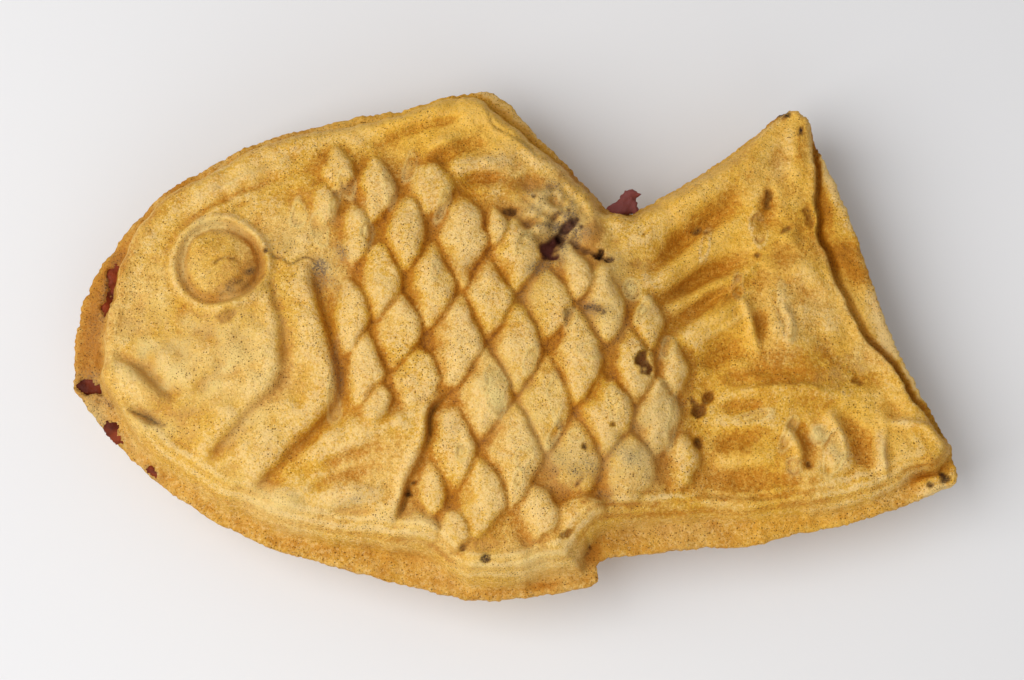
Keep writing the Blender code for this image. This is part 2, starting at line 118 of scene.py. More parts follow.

# Grooves and ridges: points, half width, depth (a ridge is negative) and how far it is toasted; only grooves
# are toasted, which is baked browning plus painted shade in them.
STROKES = (
    # head
    (((-48, -1.5), (-52, -5.5), (-55.5, -9)), 1, 0.8, 0.2),
    (((-55.5, -9), (-59, -6.5), (-62, -3), (-64, 2.5)), 1.2, 0.5, 0),
    (((-69.4, -1), (-65, -2.4), (-61, -6), (-57.6, -9.8)), 0.8, 1.2, 0.4),
    (((-68, -9.3), (-65, -10.4), (-62, -12), (-58.5, -14)), 0.7, 1.3, 0.4),
    (((-59.5, 15.5), (-57, 20), (-52, 24.4), (-44, 28), (-36, 31)), 0.45, 0.4, 0.4),
    (((-57.5, 24.5), (-52, 27), (-46, 29.6), (-40, 31.6)), 0.5, -0.4, 0),
    (((-58.2, 17.5), (-54.5, 22), (-49, 25), (-42, 28)), 0.6, -0.35, 0),
    (((-60, -14.5), (-56, -17.5), (-52, -20.5)), 1.2, 0.4, 0.1),
    # dorsal fin
    (((-24, 35.2), (-17.4, 38.2), (-11, 39.6), (-6, 40.4)), 0.8, 0.7, 0.6),
    (((-24, 37.6), (-17, 40.2), (-9, 42.4)), 1.2, -0.6, 0),
    (((-16.5, 33.6), (-13, 35), (-8, 36.8)), 1.2, -1, 0),
    (((-19, 32.4), (-14, 32.6), (-9, 35), (-4, 35.8)), 1, 0.9, 1),
    (((-13, 31.2), (-6, 31.8), (1, 32.4)), 1.2, -0.9, 0),
    (((-10, 28.6), (-5, 29.6), (0, 30.6)), 1, 0.7, 0.9),
    (((-7, 26.2), (-3, 27), (3, 27.6)), 1.2, -0.5, 0),
    (((-1, 21.8), (3, 23.4), (7.5, 23.6), (11, 24.6)), 0.6, -0.6, 0),
    (((-0.5, 20.4), (3.5, 21.6), (7, 21.4)), 0.5, 0.5, 0.9),
    (((2, 26), (6, 26.6), (9.5, 27)), 0.6, -0.5, 0),
    # flank fin
    (((-42, -22.4), (-36, -18.6), (-28, -14.8), (-20, -11.4), (-13, -8.6)), 1.8, -1.2, 0),
    (((-38, -22), (-30, -19), (-24, -17.4), (-19, -16.6)), 0.9, 0.55, 0.3),
    (((-36, -24.2), (-27, -21.2), (-20, -20.6)), 0.8, 0.5, 0.2),
    (((-35.5, -26), (-28, -24.4), (-21, -24.4)), 0.9, -0.5, 0),
    (((-35, -28.8), (-28, -28), (-22, -29)), 0.8, 0.55, 0.3),
    # tail
    (((19.5, 16), (26, 21.5), (34, 27.5), (42, 33), (47.5, 38.5)), 2.6, -1, 0),
    (((21, 11), (25, 14), (30, 19), (35.7, 23.4), (41, 28.5)), 1.7, 1.3, 0.9),
    (((20, 7.5), (26, 11.5), (33.4, 18), (40, 22.5)), 1.7, -1, 0),
    (((22.5, 7), (28, 10), (34.5, 12.6), (42.3, 17.2)), 1.5, 1.3, 1),
    (((24, 4.5), (30, 8), (37, 11.4), (42, 14.5)), 1.4, -0.9, 0),
    (((24, 3), (30, 6), (36, 9), (40.5, 12)), 1.6, 1, 0.9),
    (((26, 0), (31, 2.6), (38, 7), (40, 8.6)), 1.7, -1.1, 0),
    (((31, -3.5), (35, -1.5), (40, 1.5)), 1.3, 0.7, 0.6),
    (((38.6, 9.4), (40.2, 6), (41.2, 2), (41.6, -2.4)), 0.7, -0.8, 0),
    (((42.4, 7), (42.3, 3.5), (42, 0)), 1.2, 1, 1),
    (((44.8, 8.6), (46.6, 6.6), (47.4, 3), (46.2, -1.2)), 0.6, -0.7, 0),
    (((33, -8.6), (42, -7.6), (54, -7.2), (60, -8)), 1, -0.5, 0),
    (((33, -10.6), (38, -10), (44, -9.8)), 1, 0.4, 0.4),
    (((32.5, -16.4), (38, -15.6), (44.5, -14.8)), 1.5, 0.8, 1),
    (((32, -19.6), (40, -18.6), (46, -18.2)), 1.4, -0.5, 0),
    (((30, -22.6), (40, -22.2), (50, -22.6)), 1.6, 0.5, 0.9),
    (((45.2, -12.4), (47.2, -15), (49.2, -18), (47.8, -21)), 1, -0.9, 0),
    (((48, -11.6), (49.6, -14.6), (50.2, -18), (49.4, -22)), 1, 0.9, 1),
    (((53.2, -9.2), (54.4, -12), (55.2, -15)), 1.2, -0.55, 0),
    (((56.6, -9.6), (57.6, -12.6), (58.8, -16), (59.2, -21)), 1.3, 0.8, 0.7),
    (((62.2, -12.6), (62, -17), (62.6, -21), (63.2, -24.4)), 0.8, -0.75, 0),
    (((60.6, -12), (60.2, -17), (60.8, -22.6)), 1.2, 0.6, 0.5),
    (((62.4, -13.2), (66, -12.8), (70, -13.4)), 0.7, -0.5, 0),
    (((27, -25.2), (36, -26), (46, -26.4), (55, -25.8), (62, -24.6)), 0.7, -0.6, 0),
    (((23.4, 8.1), (28.1, 11), (33.4, 15.1), (37.5, 18)), 0.5, -0.35, 0),
    (((29.3, 2.8), (34.5, 6.9), (38.6, 10.4), (42.2, 14.5), (46.3, 17.4)), 0.5, -0.4, 0),
    (((29.8, 0.4), (35.7, 2.8), (39.2, 5.1), (41, 8.1)), 0.45, -0.35, 0),
    (((33.4, -9.5), (41, -7.2), (49.8, -6.6), (54.5, -7.8), (59.2, -7.2)), 0.45, -0.4, 0),
    (((22.8, -25.9), (33.4, -26.2), (41, -27.7), (51, -26.8), (62.7, -25.7)), 0.45, -0.5, 0),
    (((24, -24.4), (34, -24.9), (44, -25.6), (54, -25.2)), 0.4, 0.3, 0.4),
    (((62.7, -10.7), (63.3, -14.2), (62.7, -18.9), (63.8, -23.6), (65, -25.4)), 0.45, -0.5, 0),
    (((65, -24.6), (68.5, -22.4), (73.8, -19.6)), 0.5, 0.7, 1),
    (((65, -12.5), (69.7, -13.6), (73.4, -16.6)), 0.5, -0.4, 0),
    (((53.3, -10.1), (56.2, -15.4), (56.8, -20.7)), 0.5, -0.4, 0),
    (((36, -4.4), (43.9, -4), (52.1, -4.4)), 0.5, 0.3, 0.5),
    (((27, 18), (33, 22.6), (38, 25.6)), 0.4, -0.3, 0),
    (((50, 36), (48.8, 32), (47.6, 28)), 1.8, -0.5, 0),
    (((45, 29), (43.7, 24), (42.4, 19)), 1.2, 0.8, 0.5),
    (((47, 25), (51, 20), (54, 12)), 2, 0.4, 0.6),
)

# Soft swellings and hollows: X, Y, half length, half width, turn in degrees, height.
BULGES = (
    (-1.5, -37.8, 12.5, 4.2, 4, 1.7), (4.5, -37, 5, 3, 0, 0.9), (11, -36, 2, 2.4, 0, 1),
    (-63.6, -6.4, 6.6, 2.9, -35, 1.9), (-39, -26.2, 4, 2.6, 0, 1), (-27, -25.6, 6.5, 1.7, 8, 0.7),
    (-55.5, 3.5, 6, 8, 0, -0.7), (68.2, -17.6, 6.4, 6.2, 0, 1.5), (50.8, 13.6, 5, 4, 0, 0.7),
    (51.4, -14.4, 2.2, 2, 0, 0.9), (55.6, -18.6, 3, 3.2, 0, 1), (12.8, 20, 2.2, 4, -10, 1.3),
    (46, -5, 7, 4, 10, 0.3), (7, 24.5, 5, 3, 0, 0.5), (14, 18.5, 3.2, 3.4, 0, 1),
    (9.5, 16.5, 2.4, 1.6, 20, 0.8), (49, 37, 3, 4, 0, 0.8), (57, 12, 3, 9, 22, 0.5), (66, -7, 3, 6, 32, 0.6),
    (-7, 40.4, 5, 2.6, 10, 0.7), (-6, -35.6, 2.4, 1.8, 10, 0.7), (0.4, -34, 2.6, 2, -20, 0.7),
    (8, -37.6, 2.6, 1.6, 15, 0.6), (-1.6, -39.4, 3.4, 1.4, 5, 0.6), (11.6, -32.6, 1.8, 1.6, 0, 0.7),
)

# Holes and pits: X, Y, half length, half width, turn, depth, and the share of char and of paste seen in it;
# the char is partly real scorch and partly painted shade in the hole.
PITS = (
    (9.2, 20.9, 2.1, 1.3, 65, 1.2, 0.55, 0.8), (8.2, 18.4, 1.3, 0.7, 50, 0.8, 0.4, 0.5),
    (6.2, 16.6, 2.2, 1.4, 62, 1.3, 0.15, 1), (5, 15.2, 1.2, 0.8, 20, 0.9, 0.2, 0.8),
    (7.4, 22.8, 1.3, 0.5, 30, 0.5, 0.5, 0.2), (11.6, 17.2, 2.6, 0.5, -28, 0.7, 0.5, 0.4),
    (14.8, 15.6, 1.4, 0.35, -20, 0.5, 0.7, 0.2), (47.3, 40.1, 1.5, 0.7, 20, 0.1, 1.2, 0),
    (49.7, 37.5, 0.5, 0.8, -10, 0.3, 1.1, 0), (72.6, -22.9, 2.3, 0.9, 12, 0.4, 0.9, 0.3),
    (18.8, 23.2, 1.4, 0.4, -10, 0.3, 0.5, 0.2), (-0.7, 23.7, 1, 0.6, 10, 1, 0.7, 0.2),
    (3.5, 25.8, 0.6, 0.4, 0, 0.7, 1, 0), (16.7, 15, 0.7, 0.4, 0, 0.8, 1, 0),
    (15.2, 16.2, 0.4, 0.4, 0, 0.6, 1, 0), (22, -3.2, 1.1, 1.9, -8, 1.2, 0.3, 0.6),
    (-49, 5.5, 1.2, 1, 20, 0.5, 0.25, 0), (-17.8, -24.8, 1, 1.8, -20, 1.4, 0.5, 0.4),
    (30.4, -3, 0.9, 1.8, 0, 1.2, 0.25, 0), (31.3, -10.6, 1.2, 1.6, 10, 0.9, 0.3, 0.35),
    (33, -8.6, 0.8, 1.1, 0, 0.9, 0.3, 0.1), (30.8, -16.4, 0.7, 1.2, -20, 0.9, 0.6, 0),
    (43.8, 26.4, 0.7, 2, 0, 0.9, 0.5, 0), (32, 19.8, 1, 0.8, 25, 0.7, 0.7, 0),
    (22.6, 19.4, 1.4, 0.4, 45, 0.6, 0.5, 0), (21, 14.6, 0.8, 0.7, 0, 0.4, 0.1, 0),
    (50.8, 22.6, 0.6, 2, 10, 0.7, 0.3, 0), (59, -5.6, 1.2, 0.7, -35, 0.5, 0.2, 0),
    (42.3, 16.2, 0.8, 0.9, 20, 0.9, 0.7, 0.3), (47, 20.6, 1.3, 0.5, 30, 0.4, 0.5, 0),
    (50.5, -19.6, 0.6, 0.8, 0, 0.8, 0.6, 0), (-42.8, 16.7, 0.45, 0.45, 0, 0.5, 0.9, 0.3),
    (-43, 12.4, 0.7, 0.6, 30, 0.5, 0.7, 0.4), (12.4, -33.8, 0.6, 1.4, -10, 1.1, 0.7, 0),
    (9.2, -31.6, 1.4, 0.4, 25, 0.5, 0.5, 0), (-8.6, -33.8, 1, 0.45, 40, 0.6, 0.6, 0),
    (-4.3, -35.6, 0.5, 0.5, 0, 0.5, 1, 0), (12.9, -17.2, 1.1, 0.7, -30, 0.8, 0.7, 0),
    (11.2, -23, 0.9, 0.4, 50, 0.5, 0.6, 0), (15, -25, 0.8, 0.8, 0, 0.5, 0.6, 0),
    (9.2, 5.4, 0.5, 1.2, -15, 0.5, 0.4, 0), (14.4, 6.6, 2.4, 1, -10, 0.45, 0.7, 0),
    (7.8, -13, 0.5, 0.7, 0, 0.5, 0.4, 0), (17.2, -13.6, 0.4, 0.4, 0, 0.4, 0.6, 0),
)

# Thin-skinned blisters: X, Y, half length, half width, turn in degrees.
BLISTERS = (
    (-3.2, -8, 1.5, 4, 4), (7.2, -8.6, 1.2, 3.3, 4), (3.1, -2.2, 0.8, 1.9, -20), (6.6, -15, 0.6, 1.6, -30),
    (17, -8.8, 0.9, 2.6, 8), (25.6, -6.8, 0.9, 0.7, -40), (26.8, -12.6, 0.5, 3, -8), (-9, -18.2, 0.7, 1.3, 5),
    (1.8, -18.4, 1.4, 1.7, 10), (0.8, -22.6, 0.6, 1, 0), (-18, 31.4, 0.9, 2.4, -18),
    (-12.2, 24.6, 0.8, 2.4, -20), (-28.8, 28, 1.1, 2, 10), (-21.4, 27.4, 0.9, 2.2, 8),
    (-25.2, 19, 0.9, 2.4, 8), (-31, 24.2, 0.8, 2.2, -8), (-36.8, 23.2, 1, 2, 6), (-33.6, 20.4, 1, 2.6, 14),
    (-30.6, -9.6, 0.9, 2.6, 6), (1.4, 17.6, 0.7, 1.6, -30), (-13.4, 12.6, 0.6, 1.4, -12),
    (26.4, 0, 0.9, 1.6, -30), (22.4, 6.4, 0.6, 2, -30), (20.4, 10, 0.9, 1.6, 20), (42.2, 20.6, 1.1, 2.6, 8),
    (46.6, 5.4, 1, 3.6, 6), (38.6, 10, 0.8, 1.6, 10), (52, -14.8, 1.4, 1.3, 0), (40.4, -12, 3.2, 0.8, 12),
    (47, -14.6, 0.8, 2.6, -22), (54.6, -17.8, 2, 3.4, -10), (47.8, -20, 1, 1.2, 0),
    (12.9, -1.4, 1.6, 0.9, -5), (10.6, -15.4, 1.4, 1, 0), (33.2, 17.6, 0.6, 2.2, -14),
    (9.6, 4.6, 0.8, 1.6, -12),
)

# Broad washes of colour: X, Y, half length, half width, turn, strength.
TOASTED = (
    (-60.4, -8.8, 3.6, 2.2, -35, 0.7), (-66, 6, 4, 5, 0, 0.3), (-52, 0, 6, 5, 0, 0.3),
    (-56, -12, 5, 3, 0, 0.3), (43, -3.8, 11, 3.4, 3, 0.5), (38.5, -17.2, 6.5, 1.8, 5, 0.6),
    (36, 25.5, 6, 2, 38, 0.4), (53.5, 24, 1, 8, 6, 0.6), (13.4, 18.8, 1.9, 2.8, 0, 2),
    (-0.7, 23.7, 2, 1.4, 0, 0.7), (-22, 36, 2.4, 1.2, 30, 0.9), (-34, 31.5, 2, 1.4, 20, 0.7),
    (-28.5, 27.5, 1.6, 1.8, 0, 0.6), (-37, 26, 2.2, 2.2, 0, 0.5), (-11.5, 34, 4.5, 1.4, 28, 0.9),
    (0, 28, 10, 1.6, 8, 0.6), (50, -4, 9, 4, 5, 0.45), (40, -24, 12, 3, 0, 0.4), (40, 31, 6, 3, 38, 0.3),
    (47, 23, 4, 6, 0, 0.35), (47.6, -23, 6, 5, 0, 0.45), (-46.4, 12, 3.4, 4, 30, 0.4),
    (-16, -34.6, 8, 1.4, -8, 0.4), (11.5, -26.5, 5, 3, 0, 0.35), (58.4, 14.5, 2.2, 6, 20, 0.7),
    (24, -27.5, 10, 2, 0, 0.5), (13.2, -35, 2, 2.4, 0, 1), (5.5, -40.4, 3, 0.9, 0, 0.7),
    (-62, 22.8, 3, 1.4, 40, 0.5), (-58, 27.4, 3, 1.2, 30, 0.6), (-70.5, -3, 2, 3, 0, 0.3),
    (46, 14, 8, 3.5, 35, 0.35), (37, 9, 6, 2.4, 35, 0.4), (70.4, -20, 3, 2.2, 25, 0.5),
    (43, 24, 1.4, 2, 0, 0.5), (49.6, 34.5, 1.2, 4, -8, 0.5), (-5, -34, 10, 2, 0, 0.3),
    (-72.6, 2, 2.2, 8, -8, 0.9), (-68.5, 13.5, 1.8, 6, -35, 0.8), (-47, -23, 6, 1.4, -25, 0.3),
    (15, -22, 12, 2.4, -5, 0.3), (-69, 12, 1.2, 4, -20, 0.7),
)
PALE = (
    (-58, 2, 11, 14, 0, 0.6), (-44, -2, 6, 14, 0, 0.5), (-66.5, -4, 3, 1.8, -35, 0.5),
    (61, -2, 4, 8, 25, 0.45), (51.4, -14.4, 1.6, 1.6, 0, 0.7), (55.6, -18.8, 2, 2.4, 0, 0.6),
    (-57, -3.5, 5, 1.6, 50, 0.3), (-50.8, -5, 1.4, 5, -40, 0.7), (-50.8, 20.8, 4, 1.2, -12, 0.9),
    (-61.8, -0.5, 2, 5, 25, 0.35), (-60, -13.8, 5, 2, -25, 0.7), (-46.5, -13.5, 5, 1.6, 45, 0.5),
    (-40, -26, 5, 2.6, 0, 0.9), (-36, 20, 5, 5, 0, 0.4), (-64.6, -15.6, 1.2, 3.5, 10, 0.7),
    (6, 24, 6, 4, 0, 0.6), (9, 19, 6, 5, 0, 0.5), (4.5, 9, 3, 4, 0, 0.5), (-27, -28.5, 8, 2, 0, 0.4),
    (4, -12, 4, 6, 0, 0.5), (10, -19, 5, 5, 0, 0.6), (19, -20, 5, 5, 0, 0.6), (24, -13, 4, 5, 0, 0.5),
    (-6, -36, 8, 3, 0, 0.4), (4, -36, 8, 3, 0, 0.4), (16, 7, 4, 6, 0, 0.5), (30, 2, 5, 5, 0, 0.3),
    (46.5, 33, 1.6, 5, -12, 0.4), (51, 8, 6, 10, 0, 0.25), (56, -5, 7, 4, 30, 0.4),
    (-46, 30, 8, 1.2, 20, 0.4), (-3, -8, 4, 6, 0, 0.5), (20, 14, 5, 4, 0, 0.3),
    (-71.5, -10.8, 3, 1.8, -50, 0.8), (62.4, -18, 0.8, 5.5, 0, 0.7), (67, -12.8, 4, 0.7, -5, 0.5),
    (27, -31, 10, 1.6, 0, 0.3), (-15, -30, 5, 3, 0, 0.5), (-48, -22, 6, 2.4, -20, 0.4),
)
STAINED = (
    (-41, 17.5, 3, 2, 0, 0.55), (-33.4, 13.4, 1.9, 2.2, 0, 1.6), (-29.4, 16.4, 1.5, 1.7, 30, 1.5),
    (-31.6, 10.4, 2.6, 2.6, 0, 0.5), (-62, -12, 3, 0.9, -25, 0.9), (-67.6, -10, 2.2, 0.9, -30, 0.9),
    (-60.8, -0.4, 2.4, 1.4, 0, 0.35), (-54, 1.6, 3, 1.2, 0, 0.3), (-41.2, 9.4, 0.8, 2.2, 20, 0.5),
    (5, 13.4, 3, 1.6, 20, 0.9), (7.6, 18.6, 3.4, 3.8, -20, 0.9), (6.5, 25, 4, 3, 0, 0.7),
    (-27, -26, 2.4, 1, 20, 0.7), (-8.6, 14.4, 2.4, 2, 0, 0.35), (-10.6, -14, 1.6, 2, 0, 0.3),
    (16.6, 15.6, 2.4, 1.2, -10, 0.6), (12.4, -19.8, 2.4, 2.4, 0, 0.4), (16, -24.6, 3, 1.8, -20, 0.5),
    (-29.6, -7, 1, 4, 0, 0.6), (-72, 3, 2, 8, -8, 0.5), (-71.5, -10.8, 3, 1.8, -50, 0.6),
    (-30.6, -3, 0.6, 5, -4, 0.6), (3.4, 13.6, 2, 1.2, 0, 0.5), (14.4, 6.6, 2.7, 1.3, -10, 1.2),
    (10, -20, 4.5, 4, 0, 0.55), (19, -19, 4.5, 4, 0, 0.5), (24.5, -14, 3, 4, 0, 0.35), (29, -8, 2, 4, 0, 0.3),
    (-9, -28, 3, 2, 0, 0.25),
)

# The paste: X, Y, height over the seam, half length, half width, half thickness, turn. First the core.
PASTE_LUMPS = (
    (-30, 2, 0, 31, 24, 4.3, 0), (-10, 2, 0, 26, 26, 4.5, 0), (-8, 20, 0, 14, 10, 3.4, 0),
    (-64, -5.8, -0.1, 9, 2.2, 1, 2), (-71.6, -6.4, -0.1, 3.3, 2, 0.8, -3), (-66, -9.6, -0.2, 6, 1, 0.8, -50),
    (-63.6, -11.8, -0.1, 5, 2.4, 1, 32), (-67.8, -14.4, 0.1, 2.7, 1.5, 0.95, -50),
    (-57.6, -17.6, -0.1, 4.6, 2, 0.9, 48), (-61.2, -21, 0, 1.7, 1, 0.8, -38),
    (-64, 10.6, -0.1, 5.4, 4.8, 0.9, -15), (-68.5, 12.4, 0, 1.7, 3.5, 0.95, -20),
    (-69.9, 6.6, -0.1, 1.1, 4.2, 0.8, -6), (-68, -2, -0.1, 3, 1.4, 0.8, 0),
    (13.5, 17.5, 0, 8.6, 2.8, 1.2, 55), (18.2, 23.6, 0.3, 3, 1.5, 0.9, 22),
    (18.9, 24.9, 0.7, 2.2, 1.1, 0.6, 55), (20.9, 24.3, 0.6, 2.3, 0.6, 0.6, 100),
    (19.9, 26.5, 1, 1.4, 0.4, 0.45, 20), (21.5, 26.2, 0.9, 0.6, 0.4, 0.4, -10),
)

# Where paste was squeezed out on the rim and shows from above.
PASTE_SHOWS = (
    (-73.4, -6.2, 3.2, 1.8, -3), (-70.4, -7, 2.6, 1.8, -15), (-68.4, -9, 2.4, 0.8, -50),
    (-69, -15.2, 3, 2, -50), (-61.9, -22, 1.7, 1.2, -38), (-68.6, 12.4, 1.1, 3.3, -20),
    (-69.9, 7.2, 0.7, 3, -6), (-70, -1.9, 0.7, 1, 0),
)

CRACKS = (
    ((-42.2, 17), (-41, 15.6), (-39.6, 15.3), (-38.2, 14.2), (-36.4, 15.3), (-34.6, 15.1), (-33.4, 13.4)),
    ((-66.4, -10), (-64.4, -11), (-62.4, -11.6), (-61, -12.6), (-58.6, -13.6)),
    ((-69.8, -6.6), (-68.6, -9), (-66.6, -10.8)),
    ((-51.6, 13.6), (-50.4, 15), (-48.8, 15.2), (-47.2, 14.6)),
    ((-5.2, 41.8), (-3.4, 38.4), (-0.4, 36.8), (3, 34.2), (5.2, 32)),
)


def smooth_step(value, low, high):
    t = np.clip((value - low) / (high - low), 0, 1)
    return t * t * (3 - 2 * t)


def bell(value, middle, width):
    return np.exp(-(((value - middle) / width) ** 2))


def tapered(share, length):
    """1 along a stroke, falling to 0 over that share of its length at either end."""
    return smooth_step(share, 0, length) * (1 - smooth_step(share, 1 - length, 1))


def catmull_rom(points, step):
    """A smooth curve through the points, sampled about every step; the last point is left out."""
    points = np.asarray(points, float)
    padded = np.vstack([2 * points[0] - points[1], points, 2 * points[-1] - points[-2]])
    samples = []
    for before, start, end, after in zip(padded, padded[1:], padded[2:], padded[3:]):
        count = max(1, round(math.dist(start[:2], end[:2]) / step))
        for t in np.arange(count) / count:
            samples.append(0.5 * (2 * start + (end - before) * t
                                  + (2 * before - 5 * start + 4 * end - after) * t**2
                                  + (3 * start - before - 3 * end + after) * t**3))
    return np.array(samples)


def wobble(count, waves, seed):
    """A smooth closed random line between about -1 and 1."""
    rng = np.random.default_rng(seed)
    turn = np.arange(count) / count * 2 * math.pi
    line = np.zeros(count)
    for wave in waves:
        line += rng.normal() * np.cos(wave * turn + rng.uniform(0, 2 * math.pi)) / math.sqrt(len(waves))
    return line


def baked_edge():
    """The outline of the rim with its crumbly edge: X, Y and rim width, about every 0.1 mm."""
    line = np.vstack([catmull_rom(stretch, 0.12) for stretch in OUTLINE])
    ragged = 0.12 * wobble(len(line), range(20, 110), 3) + 0.08 * wobble(len(line), range(140, 420, 2), 4)
    tangent = np.roll(line[:, :2], -3, axis=0) - np.roll(line[:, :2], 3, axis=0)
    length = np.maximum(np.hypot(tangent[:, 0], tangent[:, 1]), 1e-6)
    line[:, 0] -= tangent[:, 1] / length * ragged
    line[:, 1] += tangent[:, 0] / length * ragged
    line[:, 2] = np.maximum(line[:, 2] * (1 + 0.08 * wobble(len(line), range(8, 40), 5)), 0.3)
    return line


def nearest_on(edge):
    """A search tree over the points of the edge."""
    tree = kdtree.KDTree(len(edge))
    for index, (x, y, _) in enumerate(edge):
        tree.insert((x, y, 0), index)
    tree.balance()
    return tree


class Plate:
    """One face of the iron over a square grid: the drawing of the fish and the heights pressed from it."""

    def __init__(self, cell):
        self.cell = cell
        self.columns = round(2 * REACH[0] / cell)
        self.rows = round(2 * REACH[1] / cell)
        across = np.linspace(-REACH[0], REACH[0], self.columns + 1)
        up = np.linspace(-REACH[1], REACH[1], self.rows + 1)
        self.x, self.y = np.meshgrid(across, up)
        self.to_tail_end = self.x + 0.42 * self.y  # the same all along the end edge of the tail, about 60
        self.drawn_x, self.drawn_y = self.x, self.y
        blank = np.zeros_like(self.x)
        self.height = blank.copy()
        # The toast and stain washes also carry painted shade, the pale wash also carries painted highlight,
        # and the char wash also carries painted shade in holes, cracks and gaps.
        self.toast, self.pale, self.stain, self.char, self.paste = (blank.copy() for _ in range(5))
        self.flank, self.rim_brown = blank.copy(), blank.copy()

    def blur(self, field, radius):
        """The field smoothed over the radius in millimetres."""
        rows, columns = field.shape
        pad = int(3 * radius / self.cell) + 1
        wide = np.pad(field, pad, mode="edge")
        fy = np.fft.fftfreq(wide.shape[0], self.cell)[:, None]
        fx = np.fft.rfftfreq(wide.shape[1], self.cell)[None, :]
        weight = np.exp(-2 * (math.pi * radius) ** 2 * (fx**2 + fy**2))
        smooth = np.fft.irfft2(np.fft.rfft2(wide) * weight, wide.shape)
        return smooth[pad:pad + rows, pad:pad + columns]

    def rough(self, size, seed):
        """Even random unevenness of about that grain size, mostly between -2 and 2."""
        rng = np.random.default_rng(seed)
        field = self.blur(rng.normal(size=self.x.shape), size / 2)
        return field / field.std()

    def lay_drawing(self, level):
        """Spread the drawing of the fish over the swelling of the cake, and let it run a little unevenly."""
        spread = 1 + 0.0018 * level
        self.drawn_x = self.x * spread + 0.16 * self.rough(8, 51) + 0.07 * self.rough(2.6, 53)
        self.drawn_y = 0.985 * self.y * spread + 0.175 * level + 0.32
        self.drawn_y += 0.16 * self.rough(8, 52) + 0.07 * self.rough(2.6, 54)

    def near(self, low_x, high_x, low_y, high_y):
        """The part of the grid that a feature of the drawing can touch."""
        touched = ((self.drawn_x >= low_x) & (self.drawn_x <= high_x)
                   & (self.drawn_y >= low_y) & (self.drawn_y <= high_y))
        rows, columns = np.flatnonzero(touched.any(axis=1)), np.flatnonzero(touched.any(axis=0))
        if not len(rows):
            return np.s_[0:0, 0:0]
        return np.s_[rows[0]:rows[-1] + 1, columns[0]:columns[-1] + 1]

    def along(self, points, reach):
        """Window round a curve of the drawing, distance, side (+ on its left) and share of its length."""
        line = np.vstack([catmull_rom(points, 0.8), points[-1]])
        window = self.near(line[:, 0].min() - reach, line[:, 0].max() + reach,
                           line[:, 1].min() - reach, line[:, 1].max() + reach)
        x, y = self.drawn_x[window], self.drawn_y[window]
        distance = np.full(x.shape, np.inf)
        side = np.zeros(x.shape)
        share = np.zeros(x.shape)
        lengths = np.hypot(*np.diff(line, axis=0).T)
        travelled = np.concatenate([[0], np.cumsum(lengths)])
        for start, end, length, before in zip(line, line[1:], lengths, travelled):
            run = end - start
            t = np.clip(((x - start[0]) * run[0] + (y - start[1]) * run[1]) / length**2, 0, 1)
            gap = np.hypot(x - start[0] - t * run[0], y - start[1] - t * run[1])
            closer = gap < distance
            cross = run[0] * (y - start[1]) - run[1] * (x - start[0])
            distance = np.where(closer, gap, distance)
            side = np.where(closer, np.where(cross >= 0, gap, -gap), side)
            share = np.where(closer, (before + t * length) / travelled[-1], share)
        return window, distance, side, share

    def spot(self, x, y, half_length, half_width, turn, reach):
        """The window round an oval of the drawing, and how many radii from its middle each place is."""
        span = reach * max(half_length, half_width)
        window = self.near(x - span, x + span, y - span, y + span)
        dx, dy = self.drawn_x[window] - x, self.drawn_y[window] - y
        c, s = math.cos(math.radians(turn)), math.sin(math.radians(turn))
        return window, np.hypot((dx * c + dy * s) / half_length, (dy * c - dx * s) / half_width)


def body_shape(plate, edge, edge_tree):
    """Distance in from the edge and from the foot of the wall, the plain pillow of the fish and its wall."""
    gap = np.empty(plate.x.size)
    rim = np.empty(plate.x.size)
    for place, (x, y) in enumerate(zip(plate.x.flat, plate.y.flat)):
        _, index, gap[place] = edge_tree.find((x, y, 0))
        rim[place] = edge[index, 2]
    to_edge = gap.reshape(plate.x.shape)
    foot = to_edge - plate.blur(rim.reshape(plate.x.shape), 1.2)
    tail = smooth_step(plate.x, 14, 34)
    belly = smooth_step(-plate.y, 8, 26)
    snout = smooth_step(-plate.x, 56, 68)
    trailing = smooth_step(plate.to_tail_end, 54, 60)
    wall = 3.4 + 2 * belly - 1.4 * snout - 2.4 * trailing
    foot = foot - trailing * (0.35 * plate.rough(7, 26) + 0.25 * plate.rough(3.5, 25))
    shoulder = SHOULDER - 2.9 * tail - 0.9 * trailing
    crown = CROWN - 2.75 * tail
    up_wall = np.clip((foot + 0.5) / wall, 0, 1)
    base = shoulder * (1 - (1 - up_wall) ** 2.4)
    base = base * smooth_step(foot, -0.8 + 0.5 * trailing, 0.9 - 0.5 * trailing)
    base = base + crown * (1 - bell(np.clip(foot, 0, None), 0, 17))
    base = base + 0.35 * tail * plate.rough(9, 27) * smooth_step(foot, 0.5, 4)
    base = base + 0.45 * snout * bell(foot, 2.2, 0.9)
    return to_edge, foot, base, wall


